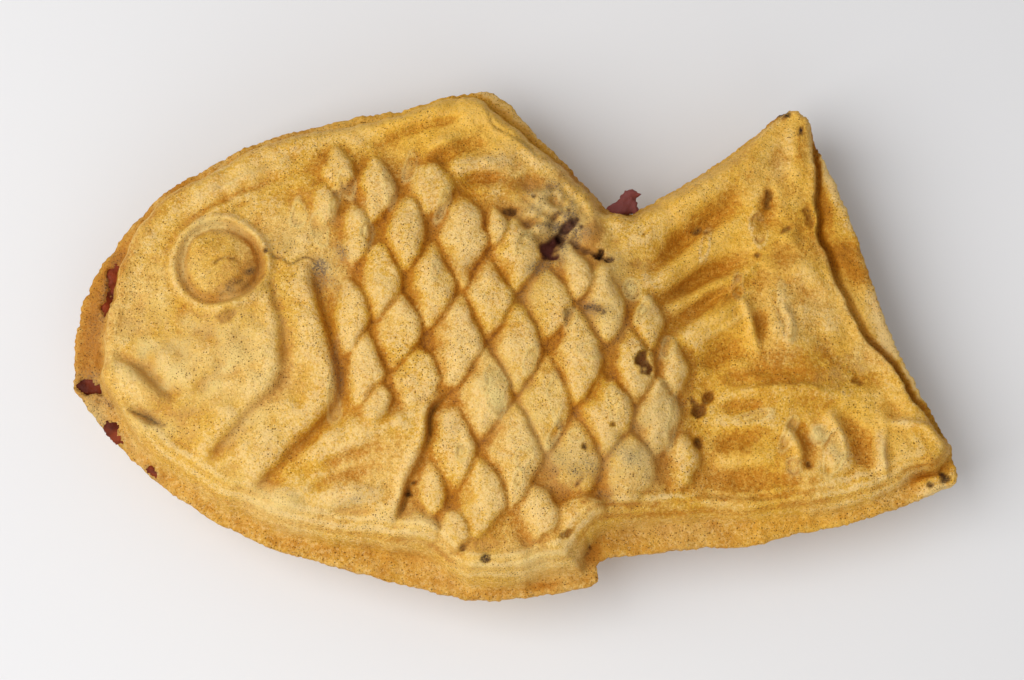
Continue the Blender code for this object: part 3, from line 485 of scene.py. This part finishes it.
def press_scales(plate, cover):
    """Cushioned pads laid over the flank: each swells towards the tail and ends there in a lip browned partly
    by baking and partly by painted shade on that side away from the lamp; the creases get painted shade too.
    """
    pads = np.zeros_like(plate.x)
    under = np.zeros_like(plate.x)
    lips = np.zeros_like(plate.x)
    uneven = 0.07 * plate.rough(3.2, 37) + 0.03 * plate.rough(1.4, 40)
    rng = np.random.default_rng(11)
    for x, y, half_width, half_height in SCALES:
        rise = PAD_RISE * rng.uniform(0.82, 1.12)
        window = plate.near(x - 1.5 * half_width, x + 1.5 * half_width,
                            y - 1.4 * half_height, y + 1.4 * half_height)
        up = (plate.drawn_y[window] - y) / (1.2 * half_height)
        bow = 0.6 * (1 - np.clip(up, -1, 1) ** 2) - 0.25
        across = (plate.drawn_x[window] - x - bow) / (1.22 * half_width)
        radius = (np.abs(across) ** 1.7 + np.abs(up) ** 1.6) ** (1 / 1.65) + uneven[window]
        radius = np.clip(radius, 0, 1)
        fullness = 2.6 + 1.4 * np.tanh(2.5 * across)
        pad = rise * (1 - radius**fullness) * (1 + 0.22 * across)
        lip = bell(radius, 0.92, 0.08) * smooth_step(across - 0.25 * up, 0, 0.5)
        higher = pad > pads[window]
        lips[window] = np.where(higher, lip, lips[window])
        under[window] = np.maximum(under[window], np.minimum(pads[window], pad))
        pads[window] = np.maximum(pads[window], pad)
    pads = pads - 0.75 * smooth_step(under / np.maximum(pads, 0.2), 0.5, 1) * under
    plate.flank = plate.blur((pads > 0).astype(float), 1.2) ** 2 * (1 - cover)
    creases = smooth_step(1 - plate.blur(pads, 0.2) / 1.4, 0.4, 1) * (0.8 + 0.25 * plate.rough(6, 35))
    # Baked browning plus painted shade on the lips and in the creases.
    browning_and_shade = plate.flank * (1 - 0.4 * smooth_step(-plate.drawn_y, 6, 20))
    plate.toast += (0.85 * plate.blur(lips, 0.2) + 0.82 * creases) * browning_and_shade
    # Painted shade in the broad hollows between pads, as browning and as grey stain.
    hollows = smooth_step(1 - plate.blur(pads, 0.8) / 1.3, 0.35, 0.85) * plate.flank
    plate.toast += 0.25 * hollows
    plate.stain += 0.3 * hollows * np.clip(0.6 + 0.6 * plate.rough(5, 45), 0, 1.6)
    return plate.blur(pads, 0.17) * (1 - cover)


def press_gill(plate, points, rise, groove):
    """A plate of the head whose rounded tail-side edge drops to the start of the next one, the drop darkened
    with baked browning plus painted shade.
    """
    window, _, side, share = plate.along(points, 14)
    inward = np.clip(0.5 - side, 0, None)
    ends = tapered(share, 0.12)
    lift = rise * np.exp(-inward / 6.5) * (1 - bell(inward, 0, 1.7))
    drop = groove * bell(side, 0.5, np.where(side > 0.5, 1.9, 0.8))
    plate.height[window] += (lift - drop) * ends
    # Baked browning plus painted shade on the drop.
    line = bell(side, 0.4, 0.4) * ends * np.clip(0.6 + 0.5 * plate.rough(3, 43)[window], 0, 1.5)
    plate.toast[window] += 0.2 * bell(side, 0, 1.2) * ends + 0.4 * line
    plate.char[window] += 0.2 * line


def press_eye(plate):
    """A low dome in a shallow gap, inside a soft raised ring; painted highlight on the ring's upper left and
    painted shade on the dome's lower right.
    """
    window, _ = plate.spot(*EYE, 11, 11, 0, 1.1)
    dx, dy = plate.drawn_x[window] - EYE[0], (plate.drawn_y[window] - EYE[1]) * 1.03
    radius = np.hypot(dx, dy)
    upper = 0.5 + 0.5 * (dy - dx) / np.maximum(radius, 1e-3) / math.sqrt(2)
    tailward = 0.5 + 0.5 * dx / np.maximum(radius, 1e-3)
    height = 1.7 * np.clip(1 - (radius / 6.2) ** 2, 0, None) ** 0.55
    height -= (0.5 + 0.5 * upper) * bell(radius, 6.7, 0.65)
    height += (0.7 + 0.45 * tailward) * bell(radius, 8.1, 0.8)
    height -= 0.3 * (1 - tailward) * bell(radius, 9.3, 0.5)
    plate.height[window] += height
    # Painted highlight on the upper left of the ring.
    plate.pale[window] += 1.5 * upper**3 * bell(radius, 7, 0.8)
    # Painted shade on the lower right inside the gap.
    plate.toast[window] += 0.55 * (1 - upper) * bell(radius, 6.4, 0.5)
    plate.toast[window] += 0.3 * smooth_step(9 - radius, 0, 2)
    # Painted shade on the lower right of the dome, as browning and char.
    shaded = bell(radius, 5, 1.1) * smooth_step(1 - upper, 0.75, 1)
    plate.toast[window] += 1.3 * shaded
    plate.char[window] += 0.5 * shaded * np.clip(0.6 + plate.rough(0.7, 36)[window], 0, 2)


def fin_cover(plate):
    """How much of the flank fin lies over each place."""
    below = np.zeros_like(plate.x)
    window, _, side, _ = plate.along(FIN_UPPER, 30)
    below[window] = smooth_step(-side, -0.3, 1.6)
    before = np.zeros_like(plate.x)
    window, _, side, _ = plate.along(FIN_END, 30)
    before[window] = smooth_step(-side, -0.35, 0.5)
    return below * before * smooth_step(plate.drawn_y, -31.5, -27) * smooth_step(plate.drawn_x, -47, -30)


def press_fin_end(plate):
    """The torn gap behind the flank fin, darkened with painted shade, and the lip of the fin in front of it.
    """
    window, distance, side, share = plate.along(FIN_END, 4)
    torn = 0.3 + 0.7 * bell(share, 0.3, 0.14) + 0.5 * bell(share, 0.82, 0.1)
    gap = bell(distance, 0.1, 0.42) * tapered(share, 0.15) * torn
    plate.height[window] -= 1.5 * gap
    # Painted shade in the gap, as browning and char.
    plate.toast[window] += 0.9 * gap
    plate.char[window] += 0.45 * gap * torn
    plate.height[window] += 0.5 * bell(side, -1.3, 0.7) * tapered(share, 0.2)


def press_bulges_and_strokes(plate):
    for x, y, half_length, half_width, turn, height in BULGES:
        window, radius = plate.spot(x, y, half_length, half_width, turn, 1.1)
        plate.height[window] += height * np.clip(1 - radius**2, 0, None) ** 1.3
    for points, width, depth, toast in STROKES:
        window, distance, _, share = plate.along(points, 4 * width)
        mark = bell(distance, 0, 1.15 * width) * tapered(share, 0.4)
        on_tail = points[0][0] > 18
        plate.height[window] -= (1.8 if on_tail else 1.25) * depth * mark
        # Only grooves are toasted: baked browning plus painted shade in them.
        plate.toast[window] += 0.45 * toast * mark


def raise_blisters(plate, detail, uneven):
    """Thin pale skin with a raised rim round it and a browned line just inside the rim."""
    bubbly = plate.rough(1.6, 33)
    for x, y, half_length, half_width, turn in BLISTERS:
        window, radius = plate.spot(x, y, half_length, half_width, turn, 2)
        radius = radius + 0.2 * bubbly[window]
        skin = smooth_step(1 - radius, -0.05, 0.2)
        past_rim = (radius - 1) * min(half_length, half_width)
        line = bell(past_rim, -0.14, 0.17) * np.clip(0.6 + 0.6 * uneven[window], 0, 1.6)
        detail[window] += 0.2 * bell(past_rim, 0.15, 0.2) + 0.06 * bubbly[window] * skin - 0.25 * line
        plate.pale[window] += (0.5 + 0.3 * uneven[window]) * skin + 0.8 * bell(past_rim, 0.18, 0.2)
        plate.toast[window] += 0.6 * line
        plate.stain[window] += 0.15 * line


def open_holes_and_cracks(plate, detail, ragged):
    crumbs = plate.rough(0.9, 44)
    for x, y, half_length, half_width, turn, depth, char, paste in PITS:
        window, radius = plate.spot(x, y, half_length, half_width, turn, 2.6)
        hole = smooth_step(1.1 - radius + 1.7 * ragged[window], 0, 0.6)
        detail[window] -= (depth + 0.25 * crumbs[window]) * hole
        # Dark in the hole: real scorch plus painted shade.
        plate.char[window] = np.maximum(plate.char[window], char * hole)
        plate.paste[window] = np.maximum(plate.paste[window], paste * hole)
        # A browner ring round each pit: baked browning plus painted shade in the dip.
        plate.toast[window] += 0.3 * smooth_step(1.6 - radius + ragged[window], 0, 0.8)
    for points in CRACKS:
        window, distance, _, share = plate.along(points, 2)
        split = bell(distance, 0, 0.2) * tapered(share, 0.15)
        detail[window] -= 0.4 * split
        # Painted shade down the crack.
        plate.char[window] = np.maximum(plate.char[window], 0.6 * split)


def open_rim(plate, height, foot, ragged):
    """Bare the paste that was squeezed out on the rim."""
    for x, y, half_length, half_width, turn in PASTE_SHOWS:
        window, radius = plate.spot(x, y, half_length, half_width, turn, 2.4)
        on_rim = 1 - smooth_step(foot[window], -0.9, -0.4)
        gap = smooth_step(1.05 - radius + 1.3 * ragged[window], 0, 0.25) * on_rim
        height[window] = height[window] * (1 - gap) + 0.15 * gap
        plate.stain[window] += 0.5 * np.exp(-((radius / 1.5) ** 4)) * on_rim


def wash(plate, base, uneven, worn):
    """Broad washes of colour; hardly any of the marks run down the steep walls."""
    for washes, field in ((TOASTED, plate.toast), (PALE, plate.pale), (STAINED if worn else (), plate.stain)):
        for x, y, half_length, half_width, turn, strength in washes:
            window, radius = plate.spot(x, y, half_length, half_width, turn, 2.2)
            field[window] += strength * np.exp(-(radius**2) * 1.2) * (1 + 0.35 * uneven[window])
    steep = smooth_step(np.hypot(*np.gradient(plate.blur(base, 0.3), plate.cell)), 1.4, 3.2)
    for field, fade in ((plate.toast, 0.85), (plate.pale, 0.85), (plate.stain, 0.9),
                        (plate.char, 0.7), (plate.paste, 0.9)):
        field *= 1 - fade * steep


def brown_and_shade_hollows(plate, height, foot, ceiling):
    """Hollows get browner and crests paler, up to a ceiling: partly baking, partly painted shade in the
    hollows and painted highlight on the crests.
    """
    broad = plate.blur(height, 2) - plate.blur(height, 0.5)
    fine = plate.blur(height, 0.8) - height
    inside = smooth_step(foot, 1.5, 4)
    plate.toast += inside * (0.28 * np.clip(broad / 0.45, -0.7, 1.3) + 0.15 * np.clip(fine / 0.2, -0.4, 1))
    plate.toast = np.where(plate.toast > 0, ceiling * np.tanh(plate.toast / ceiling), plate.toast)


def press(plate, edge, edge_tree, worn):
    """Everything the mould and the baking leave on one face, as heights over the seam and washes of colour;
    the washes also hold painted shade and painted highlight.

    A worn face also has the holes, cracks, stains and squeezed-out paste that belong to this cake alone.
    """
    to_edge, foot, base, wall = body_shape(plate, edge, edge_tree)
    plate.lay_drawing(RIM + base + smooth_step(foot, 0, 4))
    cover = fin_cover(plate)
    plate.height += press_scales(plate, cover)
    plate.height += cover * (0.7 + 0.8 * smooth_step(plate.drawn_x, -34, -15))
    press_gill(plate, INNER_GILL, 1.7, 0.6)
    press_gill(plate, OUTER_GILL, 2.2, 1.2)
    press_eye(plate)
    press_bulges_and_strokes(plate)
    press_fin_end(plate)

    on_top = smooth_step(foot, 0.1, 0.75 * wall)
    body = smooth_step(foot, -0.2, 0.6)
    detail = plate.height * on_top
    detail += 0.15 * plate.rough(6, 21) * body + 0.10 * plate.rough(2.4, 22) + 0.045 * plate.rough(1.1, 23)
    trailing = smooth_step(plate.to_tail_end, 56, 60)
    lip_gap = trailing * np.clip(0.6 + 0.4 * plate.rough(9, 38), 0, 1.3)
    lip_gap = lip_gap * (0.4 + 0.6 * smooth_step(plate.y, 2, 18))
    detail -= 0.7 * lip_gap * bell(foot, -0.75, 0.45)
    # Painted shadow in the gap under the tail's end lip.
    plate.toast += lip_gap * bell(foot, -0.8, 0.6)
    # Painted highlight along the top of the tail's end lip.
    plate.pale += 0.7 * smooth_step(plate.to_tail_end, 54, 58) * bell(foot, 0.3, 0.5)
    crumbled = worn * np.exp(-((plate.drawn_x - 7.5) / 6) ** 4 - ((plate.drawn_y - 23) / 5.5) ** 4)
    detail += crumbled * (0.7 * np.abs(plate.rough(1.9, 28)) - 0.5 + 0.28 * plate.rough(0.9, 29))
    plate.stain += 0.9 * crumbled * np.clip(0.3 + plate.rough(1.4, 30), 0, 2)
    layers = np.sin(2 * math.pi * (foot + 0.5 * plate.rough(9, 24)) / 1.8) * smooth_step(-plate.y, 10, 24)
    layers = np.sign(layers) * np.abs(layers) ** 0.6 * body * (1 - smooth_step(foot, 3.5, 6.5))
    detail += 0.1 * layers
    plate.toast -= 0.22 * layers

    uneven = plate.rough(1.5, 34)
    ragged = 0.22 * plate.rough(1.4, 31) + 0.18 * plate.rough(0.8, 32)
    raise_blisters(plate, detail, uneven)
    if worn:
        open_holes_and_cracks(plate, detail, ragged)
    wash(plate, base, uneven * smooth_step(foot, 1, 4), worn)

    dorsal = smooth_step(plate.y - 0.12 * plate.x, 29, 34) * smooth_step(plate.x, -42, -28)
    richer = np.maximum(0.8 * dorsal, smooth_step(plate.x + 0.3 * plate.y, 22, 34))
    plate.pale -= 0.5 * richer * np.clip(0.8 + 0.35 * plate.rough(8, 46), 0, 1.4)
    fin_back = smooth_step(0.71 * plate.x + 0.7 * plate.y, 20, 24) * smooth_step(plate.y, 24, 29)
    fin_back = fin_back * (1 - smooth_step(plate.x, 12, 17))
    flange = np.maximum(trailing, 0.45 * fin_back) * smooth_step(-foot, 0.6, 1.5)
    # Painted shade along the foot of the wall behind the dorsal fin.
    plate.toast += 0.45 * fin_back * bell(foot, -0.3, 0.35)
    # The flange is browner towards the wall and paler at its outer edge: its own baking plus painted shade
    # under the wall and painted highlight on the edge.
    plate.toast += flange * (0.2 * plate.rough(3, 39) + 0.25 - 0.6 * smooth_step(3.5 - to_edge, 0, 2.5))
    plate.pale += 0.45 * flange * bell(to_edge, 0, 2)
    plate.rim_brown = 1 - 0.8 * flange
    rounding = 0.5 * bell(to_edge, 0, 0.45) - 1.6 * flange
    rim_top = RIM + 0.16 * plate.rough(3, 41) + 0.08 * plate.rough(1.2, 42) - rounding
    height = rim_top + base + detail
    ceiling = 0.65 - 0.1 * smooth_step(plate.x, 20, 36) + 0.65 * plate.flank + 0.5 * smooth_step(-foot, -2, 0)
    brown_and_shade_hollows(plate, height, foot, ceiling + 0.7 * crumbled - 0.2 * dorsal)
    if worn:
        open_rim(plate, height, foot, ragged)
    return to_edge, foot, np.maximum(height, 0.15)


def inside_outline(x, y, edge):
    """Even-odd test of every place against the outline."""
    polygon = edge[::4, :2]
    inside = np.zeros(x.shape, bool)
    for (x0, y0), (x1, y1) in zip(polygon, np.roll(polygon, -1, axis=0)):
        if y0 == y1:
            continue
        rows = (y0 > y[:, 0]) != (y1 > y[:, 0])
        inside[rows] ^= x[rows] < x0 + (y[rows] - y0) * (x1 - x0) / (y1 - y0)
    return inside


def linked(name, bm):
    """The mesh as an object of the scene, smooth-shaded; the bmesh is freed."""
    mesh = bpy.data.meshes.new(name)
    bm.to_mesh(mesh)
    bm.free()
    mesh.shade_smooth()
    piece = bpy.data.objects.new(name, mesh)
    bpy.context.scene.collection.objects.link(piece)
    return piece


def half_cake(name, cell, side, edge, edge_tree):
    """One griddled half: side is 1 for the upper and -1 for the lower, which is flat where it rests."""
    plate = Plate(cell)
    to_edge, foot, height = press(plate, edge, edge_tree, side > 0)
    rim_zone = smooth_step(-foot, -1, 0.6) * plate.rim_brown
    signed = np.where(inside_outline(plate.x, plate.y, edge), to_edge, -to_edge)

    bm = bmesh.new()
    bmesh.ops.create_grid(bm, x_segments=plate.columns, y_segments=plate.rows, size=0.5,
                          matrix=Matrix.Diagonal((2 * REACH[0], 2 * REACH[1], 1, 1)))
    # The bake colours carry toast, pale and stain washes that include painted shade and painted highlight;
    # the marks carry char that is partly painted shade.
    bake_and_painted_light = bm.verts.layers.float_color.new("bake_and_painted_light")
    marks = bm.verts.layers.float_color.new("marks")
    fields = (height, plate.toast, plate.pale, plate.stain, plate.char, plate.paste, rim_zone)
    for vert, level, toast, pale, stain, char, paste, rim in zip(bm.verts, *(field.flat for field in fields)):
        vert.co.z = level
        vert[bake_and_painted_light] = (toast, pale, stain, 1)
        vert[marks] = (char, paste, rim, 1)
    bm.verts.index_update()
    keep = (signed > -0.35 * cell).ravel()
    bmesh.ops.delete(bm, geom=[vert for vert in bm.verts if not keep[vert.index]], context="VERTS")
    loose = [vert for vert in bm.verts if len(vert.link_faces) == 0]
    bmesh.ops.delete(bm, geom=loose, context="VERTS")
    pinched = [vert for vert in bm.verts if sum(e.is_boundary for e in vert.link_edges) > 2]
    bmesh.ops.delete(bm, geom=pinched, context="VERTS")

    rim_edges = [e for e in bm.edges if e.is_boundary]
    for vert in {v for e in rim_edges for v in e.verts}:
        nearest, _, gap = edge_tree.find((vert.co.x, vert.co.y, 0))
        if gap < 1.2 * cell:
            vert.co.x, vert.co.y = nearest.x, nearest.y
    skirt = bmesh.ops.extrude_edge_only(bm, edges=rim_edges)["geom"]
    for vert in (item for item in skirt if isinstance(item, bmesh.types.BMVert)):
        vert.co.z = 0
    floor_edges = [e for e in skirt if isinstance(e, bmesh.types.BMEdge) and e.is_boundary]
    bmesh.ops.edgeloop_fill(bm, edges=floor_edges)
    for vert in bm.verts:
        vert.co.z = SEAM + side * vert.co.z
        if side < 0:
            vert.co.z = max(vert.co.z, REST)
        vert.co *= MM
    bmesh.ops.recalc_face_normals(bm, faces=bm.faces)
    return linked(name, bm)


def kneaded_paste(material):
    """The core of paste and the tongues of it in the rim: lumps pressed together and roughened."""
    bm = bmesh.new()
    for x, y, z, half_length, half_width, half_height, turn in PASTE_LUMPS:
        place = (Matrix.Translation((x, (y - 0.5) / 0.985, SEAM + z))
                 @ Matrix.Rotation(math.radians(turn), 4, "Z")
                 @ Matrix.Diagonal((half_length, half_width, half_height, 1)))
        bmesh.ops.create_icosphere(bm, subdivisions=4, radius=1, matrix=place)
    for vert in bm.verts:
        vert.co *= MM
    piece = linked("kneaded_paste", bm)
    pressed = piece.modifiers.new("press_together", "REMESH")
    pressed.mode = "VOXEL"
    pressed.voxel_size = 0.00045
    whole = bpy.data.meshes.new_from_object(piece.evaluated_get(bpy.context.evaluated_depsgraph_get()))
    piece.modifiers.clear()
    piece.data = whole
    bm = bmesh.new()
    bm.from_mesh(whole)
    for vert in bm.verts:
        near_rim = vert.co.x < -0.055 or vert.co.y > 0.018
        if near_rim:
            place = vert.co / MM
            push = (0.35 * noise.noise(place * 0.7) + 0.35 * noise.noise(place * 1.6)
                    + 0.22 * noise.noise(place * 3.5))
            vert.co += vert.normal * push * MM
    bm.to_mesh(whole)
    bm.free()
    whole.shade_smooth()
    whole.materials.clear()
    whole.materials.append(material)
    return piece


def add_material(name):
    material = bpy.data.materials.new(name)
    material.use_nodes = True
    tree = material.node_tree
    return material, tree, tree.nodes["Principled BSDF"]


def node(tree, kind, **settings):
    made = tree.nodes.new(kind)
    for key, value in settings.items():
        setattr(made, key, value)
    return made


def feed(tree, socket, value):
    """Link a socket into the input, or set it to a number or a colour."""
    if isinstance(value, bpy.types.NodeSocket):
        tree.links.new(value, socket)
    else:
        socket.default_value = (*value, 1) if isinstance(value, tuple) else value


def mixed(tree, factor, first, second):
    """A colour mix; each input is a socket or a colour."""
    mix = node(tree, "ShaderNodeMix", data_type="RGBA", blend_type="MIX")
    for index, value in ((0, factor), (6, first), (7, second)):
        feed(tree, mix.inputs[index], value)
    return mix.outputs[2]


def math_node(tree, operation, *values, clamp=False):
    made = node(tree, "ShaderNodeMath", operation=operation, use_clamp=clamp)
    for socket, value in zip(made.inputs, values):
        feed(tree, socket, value)
    return made.outputs[0]


def times(tree, first, second, clamp=False):
    return math_node(tree, "MULTIPLY", first, second, clamp=clamp)


def mapped(tree, value, low, high, to_low=0.0, to_high=1.0):
    made = node(tree, "ShaderNodeMapRange", interpolation_type="SMOOTHSTEP")
    for socket, number in zip(made.inputs, (value, low, high, to_low, to_high)):
        feed(tree, socket, number)
    return made.outputs[0]


def noise_node(tree, coordinates, scale, detail=3.0, roughness=0.55):
    made = node(tree, "ShaderNodeTexNoise")
    for key, value in (("Vector", coordinates), ("Scale", scale),
                       ("Detail", detail), ("Roughness", roughness)):
        feed(tree, made.inputs[key], value)
    return made.outputs["Fac"]


def split_colour(tree, colour):
    parts = node(tree, "ShaderNodeSeparateColor")
    tree.links.new(colour, parts.inputs[0])
    return parts.outputs


def painted(tree, name):
    """The three numbers painted on the mesh under that name."""
    return split_colour(tree, node(tree, "ShaderNodeAttribute", attribute_name=name).outputs["Color"])


def add_bump(tree, shader, level, strength, distance):
    bump = node(tree, "ShaderNodeBump")
    for key, value in (("Strength", strength), ("Distance", distance), ("Height", level)):
        feed(tree, bump.inputs[key], value)
    tree.links.new(bump.outputs["Normal"], shader.inputs["Normal"])


def pore_mask(tree, coordinates, scale, largest, share):
    """Small round pores of mixed sizes, in a share of the cells of a random pattern."""
    cells = node(tree, "ShaderNodeTexVoronoi", feature="F1")
    feed(tree, cells.inputs["Scale"], scale)
    feed(tree, cells.inputs["Vector"], coordinates)
    pick, sort, _ = split_colour(tree, cells.outputs["Color"])
    chosen = mapped(tree, pick, 1 - share, 1 - share + 0.1)
    squared = math_node(tree, "POWER", sort, 2.0)
    size = math_node(tree, "MULTIPLY_ADD", squared, 0.65 * largest, 0.35 * largest)
    depth = math_node(tree, "SUBTRACT", size, cells.outputs["Distance"])
    inside = math_node(tree, "DIVIDE", depth, 0.1, clamp=True)
    return times(tree, chosen, inside)


def griddled_batter():
    """Golden batter: browner in the grooves, partly toasting and partly painted shade, paler where it
    blistered, with painted highlight on crests, pricked with fine pores.
    """
    material, tree, shader = add_material("griddled_batter_crust")
    place = node(tree, "ShaderNodeTexCoord").outputs["Object"]
    toast, pale, stain = painted(tree, "bake_and_painted_light")
    char, paste, rim = painted(tree, "marks")

    broad = noise_node(tree, place, 75)
    mottle = noise_node(tree, place, 330, 4, 0.65)
    speckle = noise_node(tree, place, 1500, 3, 0.75)
    grain = noise_node(tree, place, 2600, 2, 0.8)
    gold = mixed(tree, mapped(tree, broad, 0.40, 0.60), DULL_GOLD, LIGHT_GOLD)
    gold = mixed(tree, mapped(tree, mottle, 0.45, 0.68, 0, 0.6), gold, MOTTLED_BROWN)
    gold = mixed(tree, mapped(tree, mottle, 0.28, 0.45, 0.5, 0), gold, MOTTLED_CREAM)
    gold = mixed(tree, mapped(tree, grain, 0.52, 0.70, 0, 0.5), gold, LIGHT_GRAIN)
    gold = mixed(tree, mapped(tree, grain, 0.30, 0.48, 0.5, 0), gold, DARK_GRAIN)
    gold = mixed(tree, times(tree, rim, mapped(tree, mottle, 0.35, 0.65, 0.4, 1)), gold, RIM_BROWN)
    toast_and_shade_level = math_node(tree, "ADD", toast, mapped(tree, speckle, 0.3, 0.7, -0.24, 0.24))
    # Paler crests: baking plus painted highlight.
    gold = mixed(tree, mapped(tree, toast_and_shade_level, -0.4, 0.05, 0.6, 0), gold, CREST_CREAM_AND_HIGHLIGHT)
    gold = mixed(tree, mapped(tree, pale, -0.6, 0, 0.65, 0), gold, RICH_GOLD)
    # Baked browning plus painted shade in creases, grooves, hollows and gaps.
    colour = mixed(tree, mapped(tree, toast_and_shade_level, -0.1, 0.75, 0, 0.92), gold, TOAST_AND_SHADE_BROWN)
    colour = mixed(tree, mapped(tree, toast_and_shade_level, 0.65, 1.35, 0, 0.9), colour, DARK_TOAST_AND_SHADE)
    # Pale washes plus painted highlight.
    pallor_and_highlight = times(tree, pale, mapped(tree, speckle, 0.3, 0.6, 0.35, 0.8), clamp=True)
    colour = mixed(tree, pallor_and_highlight, colour, BLISTER_SKIN_AND_HIGHLIGHT)
    # Real stains plus painted shade in the hollows between pads.
    greyed = times(tree, stain, mapped(tree, grain, 0.35, 0.65, 0.15, 0.75), clamp=True)
    colour = mixed(tree, greyed, colour, STAIN_AND_SHADE_GREY)

    patches = mapped(tree, noise_node(tree, place, 110), 0.4, 0.6, 0.45, 1)
    patches = math_node(tree, "MAXIMUM", patches, times(tree, rim, 0.9))
    patches = math_node(tree, "MAXIMUM", patches, times(tree, stain, 1.5, clamp=True))
    fine = pore_mask(tree, place, 4000, 0.5, 0.7)
    coarse = pore_mask(tree, place, 2400, 0.4, 0.55)
    pores = times(tree, math_node(tree, "MAXIMUM", times(tree, fine, 0.75), coarse), patches)
    pore_colour = mixed(tree, times(tree, stain, 1.2, clamp=True), PORE_BROWN, STAINED_AND_SHADED_PORE)
    colour = mixed(tree, times(tree, pores, 0.9), colour, pore_colour)
    colour = mixed(tree, times(tree, paste, 1.0, clamp=True), colour, PASTE_IN_HOLE)
    # Real scorch plus painted shade in holes, cracks, gaps, gill drops and the eye.
    burnt_and_shaded = times(tree, char, mapped(tree, grain, 0.3, 0.6, 0.4, 1), clamp=True)
    colour = mixed(tree, burnt_and_shaded, colour, BURNT_AND_SHADE)
    feed(tree, shader.inputs["Base Color"], colour)

    dull = mapped(tree, grain, 0.3, 0.7, 0.48, 0.66)
    dull = math_node(tree, "SUBTRACT", dull, times(tree, pallor_and_highlight, 0.1))
    feed(tree, shader.inputs["Roughness"], dull)
    shader.inputs["Specular IOR Level"].default_value = 0.16
    shader.inputs["Subsurface Weight"].default_value = 0.06
    shader.inputs["Subsurface Radius"].default_value = (0.002, 0.0010, 0.0003)
    shader.inputs["Subsurface Scale"].default_value = 1.0
    level = math_node(tree, "ADD", times(tree, speckle, 0.45), times(tree, grain, 0.25))
    level = math_node(tree, "SUBTRACT", level, times(tree, pores, 0.3))
    add_bump(tree, shader, level, 0.55, 0.0016)
    return material


def bean_paste():
    """Dark red sweet bean paste, moist, with bits of skin; drier and paler behind the dorsal fin."""
    material, tree, shader = add_material("sweet_bean_paste")
    place = node(tree, "ShaderNodeTexCoord").outputs["Object"]
    lumps = noise_node(tree, place, 420, 4, 0.6)
    grain = noise_node(tree, place, 1600, 3, 0.6)
    colour = mixed(tree, mapped(tree, noise_node(tree, place, 130, 2), 0.4, 0.6), DARK_PASTE, RED_PASTE)
    colour = mixed(tree, mapped(tree, lumps, 0.4, 0.7, 0, 0.7), colour, BEAN_SKIN)
    along = node(tree, "ShaderNodeSeparateXYZ")
    tree.links.new(place, along.inputs[0])
    colour = mixed(tree, mapped(tree, along.outputs["X"], 0.005, 0.015, 0, 0.75), colour, DRIED_PASTE)
    colour = mixed(tree, mapped(tree, grain, 0.6, 0.8, 0, 0.6), colour, PASTE_FLECK)
    feed(tree, shader.inputs["Base Color"], colour)
    feed(tree, shader.inputs["Roughness"], mapped(tree, grain, 0.3, 0.7, 0.38, 0.6))
    shader.inputs["Specular IOR Level"].default_value = 0.12
    add_bump(tree, shader, math_node(tree, "ADD", lumps, times(tree, grain, 0.4)), 0.7, 0.0006)
    return material


def build_cake():
    edge = baked_edge()
    edge_tree = nearest_on(edge)
    crust = griddled_batter()
    upper = half_cake("upper_griddled_half", UPPER_CELL, 1, edge, edge_tree)
    lower = half_cake("lower_griddled_half", LOWER_CELL, -1, edge, edge_tree)
    paste = kneaded_paste(bean_paste())
    for half in (upper, lower):
        half.data.materials.append(crust)
    for piece, slot in ((upper, "griddled_batter"), (lower, "griddled_batter"), (paste, "bean_paste")):
        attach(piece, "root")
    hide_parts("cake")
    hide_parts("cake")
    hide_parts("bean_filling")


def build_studio():
    """A white table, a large soft lamp to the left, a weak one in front and light walls."""
    bm = bmesh.new()
    bmesh.ops.create_grid(bm, x_segments=8, y_segments=8, size=1.5)
    table = linked("table_top", bm)
    table.location.z = -0.00005
    material, tree, shader = add_material("white_table")
    place = node(tree, "ShaderNodeTexCoord").outputs["Object"]
    cloudy = mapped(tree, noise_node(tree, place, 3, 2), 0.3, 0.7)
    feed(tree, shader.inputs["Base Color"], mixed(tree, cloudy, (0.745, 0.745, 0.765), (0.775, 0.775, 0.79)))
    shader.inputs["Roughness"].default_value = 0.7
    table.data.materials.append(material)

    def lamp(name, place, size, power, colour):
        light = bpy.data.lights.new(name, "AREA")
        light.size = size
        light.energy = power
        light.color = colour
        item = bpy.data.objects.new(name, light)
        item.location = place
        item.rotation_euler = (-Vector(place)).to_track_quat("-Z", "Y").to_euler()
        bpy.context.scene.collection.objects.link(item)

    lamp("soft_window", (-0.46, -0.07, 0.60), 0.72, 4.98, (1.0, 0.995, 0.985))
    lamp("front_wall", (0.0, -0.80, 0.48), 0.90, 2.1, (1.0, 0.99, 0.975))
    world = bpy.data.worlds.new("studio_air")
    world.use_nodes = True
    background = world.node_tree.nodes["Background"]
    background.inputs["Color"].default_value = (1.0, 0.99, 0.975, 1)
    background.inputs["Strength"].default_value = 0.435
    bpy.context.scene.world = world
    bpy.context.scene.view_settings.view_transform = "Standard"


def add_camera():
    elevation, distance = math.radians(80), 0.55
    aim = Vector((-0.00025, 0.00079, 0.012))
    camera = bpy.data.cameras.new("camera")
    camera.sensor_width = 36
    camera.lens = 113
    item = bpy.data.objects.new("camera", camera)
    item.location = aim + distance * Vector((0, -math.cos(elevation), math.sin(elevation)))
    item.rotation_euler = (aim - item.location).to_track_quat("-Z", "Y").to_euler()
    bpy.context.scene.collection.objects.link(item)
    bpy.context.scene.camera = item


build_cake()
build_studio()
add_camera()
